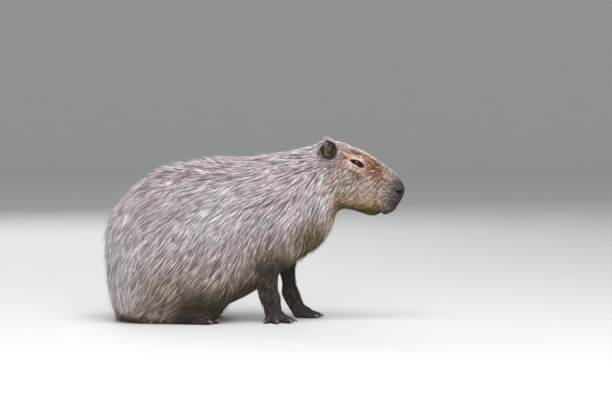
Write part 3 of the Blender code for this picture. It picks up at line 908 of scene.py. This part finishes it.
def ear_outline(angle):
    """The ear's reach at an angle in degrees, as a share of its half size, notched at its upper back."""
    notch = 0.27 * bell(angle, 135, 19) + 0.07 * bell(angle, 158, 9)
    lobe = 0.025 * np.sin(np.radians(angle * 3 + 40)) + 0.03 * bell(angle, 88, 14)
    return 1 - notch + lobe


def ear_mesh_arrays(side_name):
    """The ear's points and triangles, and how deep in the cup each point is, from 0 on the rim to about 1."""
    centre, facing = ear_frame(side_name)
    upwards = unit(np.array((0, 0, 1)) - facing * facing[2])
    forwards = np.cross(facing, upwards) * SIDES[side_name]
    angle = np.linspace(0, 360, EAR_TURNS, endpoint=False)
    reach = ear_outline(angle)
    turn = np.radians(angle)
    rings = []
    for step in range(EAR_BACK_RINGS):
        bend = math.pi / 2 * (step + 0.6) / EAR_BACK_RINGS
        rings.append((math.sin(bend) * reach, -EAR_BACK * math.cos(bend), 0.12))
    rings += [(reach * 1.015, 0.4, 0.0), (reach * 0.985, 1.1, 0.0)]
    away = np.degrees(np.abs((turn - math.radians(118) + math.pi) % (2 * math.pi) - math.pi))
    for step in range(EAR_CUP_RINGS):
        share = 0.95 * (1 - (step + 0.3) / EAR_CUP_RINGS)
        u, v = share * np.cos(turn), share * np.sin(turn)
        fold = 4.6 * bell(share, 0.62, 0.1) * bell(away, 0, 62, 4)
        inner = 3.6 * bell(u, -0.02, 0.1) * bell(v, 0.08, 0.34)
        front = 4.2 * bell(u, 0.62, 0.13) * bell(v, -0.05, 0.42)
        canal = 6.0 * bell(u, 0.3, 0.2) * bell(v, -0.34, 0.2)
        depth = EAR_CUP * (1 - share**2.6) - fold - inner - front + canal
        rings.append((share * reach, 0.6 - depth, np.clip(0.35 + depth / 14, 0, 1.3) - 0.25 * (fold > 2.2)))
    points, deep = [], []
    for reaches, height, ring_deep in rings:
        ahead, up = np.cos(turn) * reaches * EAR_HALF[0], np.sin(turn) * reaches * EAR_HALF[1]
        out = np.outer(ahead, forwards) + np.outer(up, upwards)
        points.append(centre + out + np.broadcast_to(height, EAR_TURNS)[:, None] * facing)
        deep.append(np.broadcast_to(ring_deep, EAR_TURNS))
    points, deep = np.concatenate(points), np.concatenate(deep)
    triangles = []
    for a, b in ring_pairs(0, len(rings) - 1, EAR_TURNS):
        triangles += [(a, b, b + EAR_TURNS), (a, b + EAR_TURNS, a + EAR_TURNS)]
    for first, order in ((0, -1), (len(points) - EAR_TURNS, 1)):
        points = np.concatenate((points, [points[first : first + EAR_TURNS].mean(axis=0)]))
        deep = np.append(deep, deep[first])
        triangles += [(len(points) - 1, *pair[::order]) for pair in ring_pairs(first, 1, EAR_TURNS)]
    outer = EAR_TURNS * 2
    return points * MM, faced(points, np.array(triangles), outer, points[outer] - centre), deep


def ear_colours(deep, points, side_name):
    """Pale behind, dark brown inside, and darkest at the rim and in the ear's passage, which is painted
    shade; a painted highlight lies on the fold by the notch.
    """
    x, _, z = EAR_CENTRE[side_name]
    u, v = points[:, 0] / MM - x, points[:, 2] / MM - z
    cup = ramp(deep, 0.0, 0.03)
    coats = Coats((30, 24, 22), u, v)
    coats.add((86, 69, 50), ramp(deep, 0.3, 0.55) * 0.95)
    coats.patch((20, 15, 14), cup * 1.2, (19, 8), (8, 22), -12)
    coats.patch((26, 20, 18), cup, (-20, -14), (8, 14), -30)
    # Painted shade in the ear's passage
    coats.patch((14, 10, 10), cup, (8, -8), (8, 9))
    coats.add((32, 25, 23), ramp(np.hypot(u / EAR_HALF[0], v / EAR_HALF[1]), 0.6, 0.8) * cup * 0.85)
    # Painted highlight on the fold by the notch
    coats.patch((170, 166, 170), cup * 0.85, (-8, 19), (5, 8), 15)
    behind = (deep < EAR_BEHIND) & (deep > 0.05)
    coats.add((166, 160, 166), behind * 1.0)
    return coats.colour


# The coat
LONG_SPACING = 2.95 * MM
HEAD_SPACING = 2.3 * MM
MUZZLE_SPACING = 1.9 * MM
LEG_SPACING = 2.6 * MM
EAR_SPACING = 1.45 * MM
# No tuft comes closer to the floor than this
FLOOR_ROOM = 1.2 * MM
# The share of tufts that others go with, on the long coat and on the short one
LEADERS_LONG, LEADERS_SHORT = 0.62, 0.6
BRIGHTEST = 0.9
# The width and the height at each ring of a tuft, as shares of the tuft's own
TUFT_SHAPE = np.array(((0.7, 1.0), (0.7, 1.0)))
EAR_TUFT_SHAPE = np.array(((0.85, 0.9), (1.0, 1.0)))


def combed(surface, roots, lengths, legs, feet, wander):
    """Paths along the skin from the roots, following the lie of the coat, with the skin's normals there."""
    places, normals, _ = surface.nearest(roots)
    path, ups = [places], [normals]
    for _ in range(TUFT_RINGS):
        run = turned(lie_of_coat(places, normals, legs, feet), normals, wander)
        places, normals, _ = surface.nearest(places + run * (lengths / TUFT_RINGS)[:, None])
        path.append(places)
        ups.append(normals)
    return np.stack(path, axis=1), np.stack(ups, axis=1)


def leaders_of(roots, share):
    """The tuft that each tuft goes with: the nearest of a few that lead."""
    leaders = np.nonzero(RNG.random(len(roots)) < share)[0]
    tree = KDTree(len(leaders))
    for index, leader in enumerate(leaders):
        tree.insert(roots[leader], index)
    tree.balance()
    return np.array([leaders[tree.find(root)[1]] for root in roots])


def gathered(path, lead, pull):
    """Tufts drawn together towards the tip of the one that leads."""
    share = np.linspace(0, 1, path.shape[1])
    return path + (path[lead] - path) * (share[None, :, None] * pull[:, None, None])


def tint(lead, own, shared):
    """How light and how warm each tuft is, in part as the one that leads it."""
    count = len(lead)
    light = np.clip(np.exp(RNG.normal(0, own, count) + RNG.normal(0, shared, count)[lead]), 0.3, 1.75)
    warm = RNG.normal(0, 0.014, count)
    return light[:, None] * np.stack((1 + warm, np.ones(count), 1 - warm), axis=1)


def tufts_of(surface, weights, spacing, share, long):
    """Tufts over part of the skin, as paths from root to tip with the skin's normals and the tufts' sizes."""
    roots, face = sown(surface, spacing, share)
    here = {name: surface.blend(value, face) for name, value in weights.items()}
    x, _, z = (roots / MM).T
    sums = [sum(here[name] * row[column] for name, row in REGIONS.items()) for column in range(4)]
    depth, lengths, widths, thick = sums
    chest = ramp(x, 90, 150) * fall(z, 260, 340) * fall(x, 235, 262)
    lengths = lengths * (1 + 0.25 * chest)
    if not long:
        cheek = fall(z, 400, 450) * fall(x, 370, 400)
        close = fall(eye_place(left_side(roots))[3], 4, 24) * (x > 255)
        lengths = lengths * (0.7 + 1.0 * cheek) * (1 - 0.55 * close)
        widths = widths * (1 - 0.25 * close)
        depth = depth * (1 - 0.5 * close)
    lengths = lengths * RNG.uniform(0.78, 1.15, len(roots)) * MM
    legs = np.clip(here["forearm"] * 1.4 + here["upper_foreleg"] * 0.5, 0, 1)
    feet = np.clip((here["forefoot"] + here["hind_foot"]) * 1.3, 0, 1)
    leaders = LEADERS_LONG if long else LEADERS_SHORT
    lead = leaders_of(roots, leaders)
    # Some tufts of the back's and the chest's outline stand out of the coat
    ridge = ramp(z, 425, 450) * fall(x, -60, 20)
    edge = np.maximum(chest, ridge)
    shin = ramp(x, -45, -15) * fall(z, 190, 240)
    often = (0.05 + 0.13 * edge) * (1 - shin) if long else 0.02
    chance = RNG.random(len(roots))[lead]
    stray = (chance < often) * RNG.uniform(0.4, 1.3, len(roots))[lead]
    standing = (chance < often) * edge
    lengths = lengths * (1 - 0.45 * standing) * (1 - 0.25 * shin)
    widths = widths * (1 + 1.2 * standing)
    if long:
        wander = 4 * waves(roots, 0.08, 3) + 2 * waves(roots, 0.03, 4) + RNG.normal(0, 2.5, len(roots))
    else:
        wander = 2 * waves(roots, 0.06, 3) + RNG.normal(0, 2.2, len(roots))
    path, ups = combed(surface, roots, lengths, legs, feet, np.radians(wander))
    across = side_vectors(path[:, :2], ups[:, :2])[:, 0]
    aside = np.abs(((roots - roots[lead]) * across).sum(axis=1)) / (spacing / math.sqrt(leaders) / 2)
    pull = np.clip((0.62 if long else 0.42) + 0.2 * waves(roots, 0.09, 5), 0, 0.9)
    path = gathered(path, lead, pull)
    t = np.linspace(0, 1, TUFT_RINGS + 1)
    full = 1.0 - 0.25 * np.clip(aside, 0, 1) ** 1.4 - 0.55 * RNG.random(len(roots))[lead] ** 0.6
    full = np.clip(full + RNG.normal(0, 0.05, len(roots)), 0.28, 1.0)
    height = depth[:, None] * (full[:, None] * (1 - (1 - t) ** 2.3) + stray[:, None] * t**2)
    height = height - (0.9 if long else 0.25) * (1 - t) ** 3
    path = path + ups * (height * MM)[:, :, None]
    path[:, :, 2] = np.maximum(path[:, :, 2], FLOOR_ROOM)
    return roots, path, ups, widths, thick, lead, full


def side_vectors(path, ups):
    run = np.gradient(path, axis=1)
    return unit(np.cross(run, ups))


def tuft_data(path, ups, widths, heights, shape, colours, places):
    """What tuft_mesh takes, from the tufts' sizes in millimetres and how these change along the tuft."""
    return dict(
        centres=path,
        sides=side_vectors(path, ups),
        ups=ups,
        widths=widths[:, None] * shape[0] * MM,
        heights=heights[:, None] * shape[1] * MM,
        colours=np.minimum(colours, BRIGHTEST),
        places=places,
    )


def lay_coat(surface, weights, spacing, share, unwrap, long):
    """The roots of tufts over part of the skin, and the tufts with their colours, as tuft_mesh takes them."""
    roots, path, ups, widths, thick, lead, full = tufts_of(surface, weights, spacing, share, long)
    # Each tuft darker at its root and paler at its tip: partly the hair's own colour, partly painted shade
    # deep in the coat
    light = np.array((0.42, 0.95, 1.2) if long else (0.6, 1.0, 1.2))
    # Painted shade: tufts that lie lower in the coat are darker, the highest paler
    painted_depth_shade = 0.24 + 1.05 * ramp(full, 0.4, 0.92)
    shades = tint(lead, 0.36, 0.44) if long else tint(lead, 0.38, 0.42)
    colours = markings_and_painted_light(path.reshape(-1, 3), ups.reshape(-1, 3)).reshape(path.shape)
    colours = colours * light[None, :, None] * painted_depth_shade[:, None, None] * shades[:, None, :]
    fleck = (RNG.random(len(roots)) < 0.25) * ramp(roots[:, 0] / MM, 365, 400)
    widths = widths * (0.75 + 0.5 * full) * RNG.uniform(0.8, 1.2, len(path))
    colours = colours * (1 + 1.1 * fleck)[:, None, None]
    return roots, tuft_data(path, ups, widths, thick, TUFT_SHAPE, colours, unwrap_places(unwrap, roots))


def rows_of(data, chosen):
    return {key: value[chosen] for key, value in data.items()}


def finished(thing, finish):
    thing.data.materials.append(finish)
    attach(thing, "root")


def clear_of_openings(data):
    """Drops the tufts that would lie over an eye, in a nostril, across the mouth or in an ear."""
    path = data["centres"].reshape(-1, 3)
    mm = left_side(path)
    near = (mm[:, 0] > 255) & (mm[:, 2] > 300)
    mm = mm[near]
    along, across, _ = nostril_place(mm)
    blocked = np.zeros(len(path), bool)
    blocked[near] = eye_place(mm)[3] < 1.6
    blocked[near] |= np.hypot(along / 14.0, across / 5.0) < 1.15
    blocked[near] |= (mouth_place(mm)[0] < 1.6) & (mm[:, 0] > 340) & (mm[:, 2] < 380)
    blocked[near] |= (mm[:, 1] < 1.8) & (mm[:, 0] > 400) & (mm[:, 2] < 402)
    for side_name in SIDES:
        height, away = about_ear(path, side_name)
        blocked |= (away < 24) & (height > ear_back(away, 24, 27) - 1.5)
    return rows_of(data, ~blocked.reshape(data["centres"].shape[:2]).any(axis=1))


def ear_tufts(ear, deep, side_name, unwrap):
    """Short hair on the ear: towards the rim behind, and across the cup inside."""
    face_deep = deep[ear.triangles].mean(axis=1)
    roots, face = sown(ear, EAR_SPACING, (face_deep < 0.95).astype(float))
    place, normals, face = ear.nearest(roots)
    centre, facing = ear_frame(side_name)
    behind = face_deep[face] < EAR_BEHIND
    inside = np.tile((-0.75, 0.25 * SIDES[side_name], 0.55), (len(place), 1))
    run = np.where(behind[:, None], unit(place - centre * MM) + facing * 0.3, inside)
    run = unit(run - normals * (run * normals).sum(axis=1, keepdims=True))
    run = turned(run, normals, RNG.normal(0, 0.3, len(place)))
    lengths = np.where(behind, 3.6, 4.0) * RNG.uniform(0.7, 1.2, len(place)) * MM
    path = [place - normals * 0.3 * MM]
    for share, rise in ((0.5, 0.5), (1.0, 1.0)):
        path.append(place + run * (lengths * share)[:, None] + normals * (rise * MM))
    path, ups = np.stack(path, axis=1), np.stack([normals] * 3, axis=1)
    base = ear_colours(deep, ear.points, side_name)[ear.triangles[face]].mean(axis=1)
    shades = tint(leaders_of(place, 0.3), 0.25, 0.25)
    # Each tuft darker at its root and paler at its tip: partly the hair's own colour, partly painted shade
    # deep in the coat
    colours = base[:, None, :] * np.array((0.7, 1.05, 1.3))[None, :, None] * shades[:, None, :]
    widths, thick = RNG.uniform(0.5, 0.85, len(place)), np.full(len(place), 0.3)
    return tuft_data(path, ups, widths, thick, EAR_TUFT_SHAPE, colours, unwrap_places(unwrap, place))


# Materials
class Finish:
    """A material built from nodes. Settings are given by name: outputs are linked, other values are set."""

    def __init__(self, name):
        self.material = bpy.data.materials.new(name)
        self.material.use_nodes = True
        self.tree = self.material.node_tree

    def settle(self, node, **settings):
        for key, value in settings.items():
            socket = node.inputs.get(key.replace("_", " "))
            if socket is None:
                setattr(node, key, value)
            elif isinstance(value, bpy.types.NodeSocket):
                self.tree.links.new(value, socket)
            else:
                socket.default_value = value
        return node

    def node(self, kind, output, **settings):
        return self.settle(self.tree.nodes.new("ShaderNode" + kind), **settings).outputs[output]

    def shade(self, **settings):
        self.settle(self.tree.nodes["Principled BSDF"], **settings)
        return self.material

    def noise(self, scale, detail, stretch=(1, 1, 1)):
        place = self.node("TexCoord", "Object")
        place = self.node("Mapping", "Vector", Vector=place, Scale=stretch)
        return self.node("TexNoise", "Fac", Vector=place, Scale=scale, Detail=detail)

    def ranged(self, value, low, high, start=0.3, end=0.7):
        limits = {"From_Min": start, "From_Max": end, "To_Min": low, "To_Max": high}
        return self.node("MapRange", "Result", Value=value, **limits)

    def painted(self, *noises):
        """The painted colour, made uneven by noises, each with its lowest and highest factor."""
        colour = self.node("Attribute", "Color", attribute_name="coat")
        for value, low, high in noises:
            factor = self.ranged(value, low, high)
            colour = self.node("VectorMath", "Vector", operation="SCALE", Vector=colour, Scale=factor)
        return colour

    def between(self, value, low, high):
        """A colour from low to high as the value goes from 0 to 1."""
        made = self.tree.nodes.new("ShaderNodeValToRGB")
        for element, colour in zip(made.color_ramp.elements, (low, high)):
            element.color = (*colour, 1)
        return self.settle(made, Fac=value).outputs["Color"]

    def bump(self, height, strength, distance, **under):
        return self.node("Bump", "Normal", Height=height, Strength=strength, Distance=distance, **under)


def coat_material(name, speckle, roughness):
    made = Finish(name)
    fine = made.noise(speckle, 3)
    return made.shade(
        Base_Color=made.painted((fine, 0.8, 1.18), (made.noise(28, 2), 0.9, 1.1)),
        Roughness=made.ranged(fine, roughness - 0.08, roughness + 0.1),
        Normal=made.bump(fine, 0.25, 0.0004),
        Specular_IOR_Level=0.25,
        Sheen_Weight=0.06,
        Sheen_Roughness=0.5,
    )


def skin_material():
    made = Finish("skin")
    fine = made.noise(900, 4)
    bare = made.node("Attribute", "Fac", attribute_name="bare")
    place = made.node("TexCoord", "Object")
    pores = made.node("TexVoronoi", "Distance", Vector=place, Scale=620)
    return made.shade(
        Base_Color=made.painted((fine, 0.72, 1.22), (made.noise(60, 3), 0.86, 1.12)),
        Roughness=made.ranged(bare, 0.68, 0.42, 0, 1),
        Normal=made.bump(pores, 0.35, 0.0008, Normal=made.bump(fine, 0.5, 0.0006)),
        Specular_IOR_Level=0.4,
    )


def eye_material():
    made = Finish("eye")
    fine = made.noise(700, 3)
    return made.shade(
        Base_Color=made.painted((fine, 0.7, 1.3)),
        Roughness=made.ranged(fine, 0.06, 0.12),
        Coat_Weight=0.25,
        Coat_Roughness=0.03,
        Specular_IOR_Level=0.22,
    )


def claw_material():
    made = Finish("claw")
    grain = made.noise(260, 4, (1, 1, 5))
    return made.shade(
        Base_Color=made.between(grain, paint(62, 52, 48), paint(132, 118, 106)),
        Roughness=made.ranged(grain, 0.32, 0.55),
        Normal=made.bump(grain, 0.3, 0.0004),
    )


def floor_material():
    made = Finish("floor")
    colour = made.between(made.noise(6, 3), (0.60, 0.60, 0.59), (0.64, 0.64, 0.63))
    return made.shade(Base_Color=colour, Roughness=0.8)


# Eyes and claws
EYE_TURNS = 64
EYE_RINGS = 34
CORNEA_RISE = 0.9
PUPIL, IRIS = paint(4, 4, 5), paint(34, 21, 14)


def add_eye(side_name):
    """A ball with a slightly raised clear front, a black pupil and a dark brown iris."""
    mirror = (1, SIDES[side_name], 1)
    out, centre = EYE_OUT * mirror, EYE_CENTRE * mirror
    across = unit(np.cross(out, (0, 0, 1.0)))
    up = np.cross(across, out)
    points, colours = [centre + out * (EYE_RADIUS + CORNEA_RISE)], [paint(3, 3, 4)]
    for ring in range(1, EYE_RINGS):
        tilt = math.pi * ring / EYE_RINGS
        radius = EYE_RADIUS + CORNEA_RISE * bell(tilt, 0, 0.5)
        iris = ramp(tilt, 0.30, 0.36) * fall(tilt, 0.62, 0.85)
        colours += [PUPIL + (IRIS - PUPIL) * iris] * EYE_TURNS
        for step in range(EYE_TURNS):
            turn = 2 * math.pi * step / EYE_TURNS
            flat = across * math.cos(turn) + up * math.sin(turn)
            points.append(centre + out * radius * math.cos(tilt) + flat * radius * math.sin(tilt))
    points.append(centre - out * EYE_RADIUS)
    colours.append(PUPIL)
    last = len(points) - 1
    triangles = [(0, a, b) for a, b in ring_pairs(1, 1, EYE_TURNS)] + walls(1, EYE_RINGS - 1, EYE_TURNS)
    triangles += [(a, last, b) for a, b in ring_pairs(last - EYE_TURNS, 1, EYE_TURNS)]
    points = np.array(points) * MM
    mesh = mesh_of(points, faced(points, np.array(triangles), 0, out), "eye")
    set_colours(mesh, np.array(colours))
    thing = add_object(mesh, "eyeball_" + side_name)
    finished(thing, EYE_FINISH)
    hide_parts("eye_" + side_name)


def add_claws(kind, side_name):
    """The claws of one foot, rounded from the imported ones."""
    nodes = [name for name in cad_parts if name.startswith(f"claw_{kind}_{side_name}_")]
    whole = bmesh.new()
    for name in nodes:
        whole.from_mesh(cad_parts[name].data)
    bmesh.ops.remove_doubles(whole, verts=whole.verts, dist=WELD)
    thing = add_object(mesh_from(whole, "claws"), "claws_rough")
    thing.modifiers.new("rounder", "SUBSURF").levels = 2
    thing = add_object(evaluated(thing), f"claws_{kind}_{side_name}")
    thing.data.polygons.foreach_set("use_smooth", np.ones(len(thing.data.polygons), bool))
    thing.data.materials.clear()
    finished(thing, CLAW_FINISH)
    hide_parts(*nodes)


# Camera, at the photograph's viewing angle, and stage
CAMERA_ELEVATION = math.radians(3)
CAMERA_DISTANCE = 8.0
CAMERA_AIM = Vector((0.156, 0.0, 0.348))
CAMERA_LENS = 157
CAMERA_SENSOR = 36
STAGE_FLAT = 11.0
STAGE_BEND = 4.0
STAGE_TURNS = 72
STAGE_STEPS = 14
LIGHT_AIM = Vector((0, 0, 0.25))
# Each light's name, place, size in metres and power
LIGHTS = (
    ("sky", (0.3, -1.8, 4.4), (4.0, 3.4), 200),
    ("front", (0.8, -5.4, 2.8), (4.0, 2.6), 215),
    ("far_side", (-1.6, 4.4, 2.8), (3.6, 2.6), 90),
)


def add_camera():
    data = bpy.data.cameras.new("camera")
    data.lens = CAMERA_LENS
    data.sensor_width = CAMERA_SENSOR
    camera = add_object(data, "camera")
    back = Vector((0, -math.cos(CAMERA_ELEVATION), math.sin(CAMERA_ELEVATION)))
    aim(camera, CAMERA_AIM + back * CAMERA_DISTANCE, -back)
    bpy.context.scene.camera = camera
    bpy.context.scene.view_settings.view_transform = "Standard"


def add_light(name, place, size, power):
    data = bpy.data.lights.new(name, "AREA")
    data.shape = "RECTANGLE"
    data.size, data.size_y = size
    data.energy = power
    aim(add_object(data, name), place, LIGHT_AIM - Vector(place))


def add_stage():
    """A round pale floor that rises into a wall all round, and soft lights."""
    points = [(0.0, 0.0, 0.0)]
    profile = [(2.0, 0.0), (6.0, 0.0)]
    for step in range(STAGE_STEPS + 1):
        turn = math.pi / 2 * step / STAGE_STEPS
        profile.append((STAGE_FLAT + STAGE_BEND * math.sin(turn), STAGE_BEND * (1 - math.cos(turn))))
    for radius, height in profile:
        for step in range(STAGE_TURNS):
            turn = 2 * math.pi * step / STAGE_TURNS
            points.append((radius * math.cos(turn), radius * math.sin(turn), height))
    triangles = [(0, a, b) for a, b in ring_pairs(1, 1, STAGE_TURNS)] + walls(1, len(profile), STAGE_TURNS)
    floor = add_object(mesh_of(np.array(points), np.array(triangles), "floor"), "floor")
    floor.data.materials.append(floor_material())
    for light in LIGHTS:
        add_light(*light)
    world = bpy.data.worlds.new("studio")
    world.use_nodes = True
    background = world.node_tree.nodes["Background"]
    background.inputs["Color"].default_value = (0.95, 0.97, 1.0, 1)
    background.inputs["Strength"].default_value = 0.42
    bpy.context.scene.world = world


# Putting it together
EYE_FINISH = eye_material()
CLAW_FINISH = claw_material()
LONG_FINISH = coat_material("coat_long", 420, 0.52)
SHORT_FINISH = coat_material("coat_short", 900, 0.58)
# How dark the skin is under the long coat, so that it does not shine through, and how much paler elsewhere
SKIN_UNDER, SKIN_PALER = 0.38, 0.5
# The colour and the cover of the openings' marks
# The nostrils' near black is painted shade in their hollows, and the lips' dark line is partly dark lip skin,
# partly painted shade in the mouth's slit
MARK_PAINTS = (("lid", (24, 18, 17), 0.96), ("nostril", (10, 8, 9), 0.96), ("lip", (34, 27, 26), 0.85))


def add_skin(surface, marks, weights, ears):
    """The skin and both ears as one piece. Also gives what its unwrap needs."""
    points = surface.points
    short = sum(weights[name] for name in ("head", "muzzle", "forearm", "forefoot", "hind_foot"))
    colour = markings_and_painted_light(points, surface.normals)
    # Painted shade: the skin round each ear's root is darkened
    for side_name in SIDES:
        colour *= 1 - 0.45 * near_ear(points, side_name, 42)[:, None]
    colour = colour * (SKIN_UNDER + SKIN_PALER * np.clip(short, 0, 1))[:, None]
    # Painted shade in the nostrils, and partly along the lips in the mouth's slit
    for name, rgb, share in MARK_PAINTS:
        colour = mixed(colour, paint(*rgb), marks[name] * share)
    nose = blob(points[:, 0] / MM, points[:, 2] / MM, (442, 382), (20, 22))
    colours, bare = [colour], [np.clip(marks["lid"] + marks["nostril"] + nose, 0, 1)]
    for side_name, (ear, deep) in ears.items():
        colours.append(ear_colours(deep, ear.points, side_name))
        bare.append(np.clip(deep, 0, 0.6))
    whole = joined([(part.points, part.triangles) for part in (surface, *(ear for ear, _ in ears.values()))])
    skin = add_object(mesh_of(*whole, "skin"), "skin")
    set_colours(skin.data, np.concatenate(colours))
    set_colours(skin.data, np.repeat(np.concatenate(bare)[:, None], 3, axis=1), "bare")
    finished(skin, skin_material())
    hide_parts(*FLESH, *both_sides("ear"))
    return whole


def add_coat(name, data, finish):
    finished(add_object(tuft_mesh(name, **data), name), finish)


def add_coats():
    """The skin, then the tufts over it."""
    points, triangles, marks = make_skin()
    weights = region_weights(points, edges_of(triangles))
    surface = Surface(points, triangles)
    ears = {}
    for side_name in SIDES:
        ear_points, ear_triangles, deep = ear_mesh_arrays(side_name)
        ears[side_name] = (Surface(ear_points, ear_triangles), deep)
    unwrap = unwrapped(*add_skin(surface, marks, weights, ears))

    share = {name: value[triangles].mean(axis=1) for name, value in weights.items()}
    long = sum(share[name] for name in ("trunk", "neck", "thigh", "upper_foreleg", "tail"))
    roots, data = lay_coat(surface, weights, LONG_SPACING, long, unwrap, True)
    for side_name, side in SIDES.items():
        rows = np.nonzero(roots[:, 1] * side >= 0)[0]
        rows = rows[np.argsort(roots[rows, 0], kind="stable")]
        for band, part in zip(("rear", "middle", "front"), np.array_split(rows, 3)):
            slot = "rump_fur" if band == "rear" else "back_fur"
            add_coat(f"coat_{band}_{side_name}", rows_of(data, part), LONG_FINISH)

    closed = 1 - np.clip(marks["lid"] + marks["nostril"] + marks["lip"] * 0.8, 0, 1)[triangles].min(axis=1)
    legs = share["forearm"] + share["forefoot"] + share["hind_foot"]
    for name, spacing, where, slot in (
        ("coat_head", HEAD_SPACING, share["head"] * closed, "head_fur"),
        ("coat_muzzle", MUZZLE_SPACING, share["muzzle"] * closed, "muzzle_skin"),
        ("coat_legs", LEG_SPACING, legs, "leg_fur"),
    ):
        _, data = lay_coat(surface, weights, spacing, where, unwrap, False)
        add_coat(name, clear_of_openings(data), SHORT_FINISH)
    both = [ear_tufts(*ear, side_name, unwrap) for side_name, ear in ears.items()]
    data = {key: np.concatenate([rows[key] for rows in both]) for key in both[0]}
    add_coat("coat_ears", data, SHORT_FINISH)


add_coats()
for side_name in SIDES:
    add_eye(side_name)
    for kind in ("fore", "hind"):
        add_claws(kind, side_name)
add_camera()
add_stage()
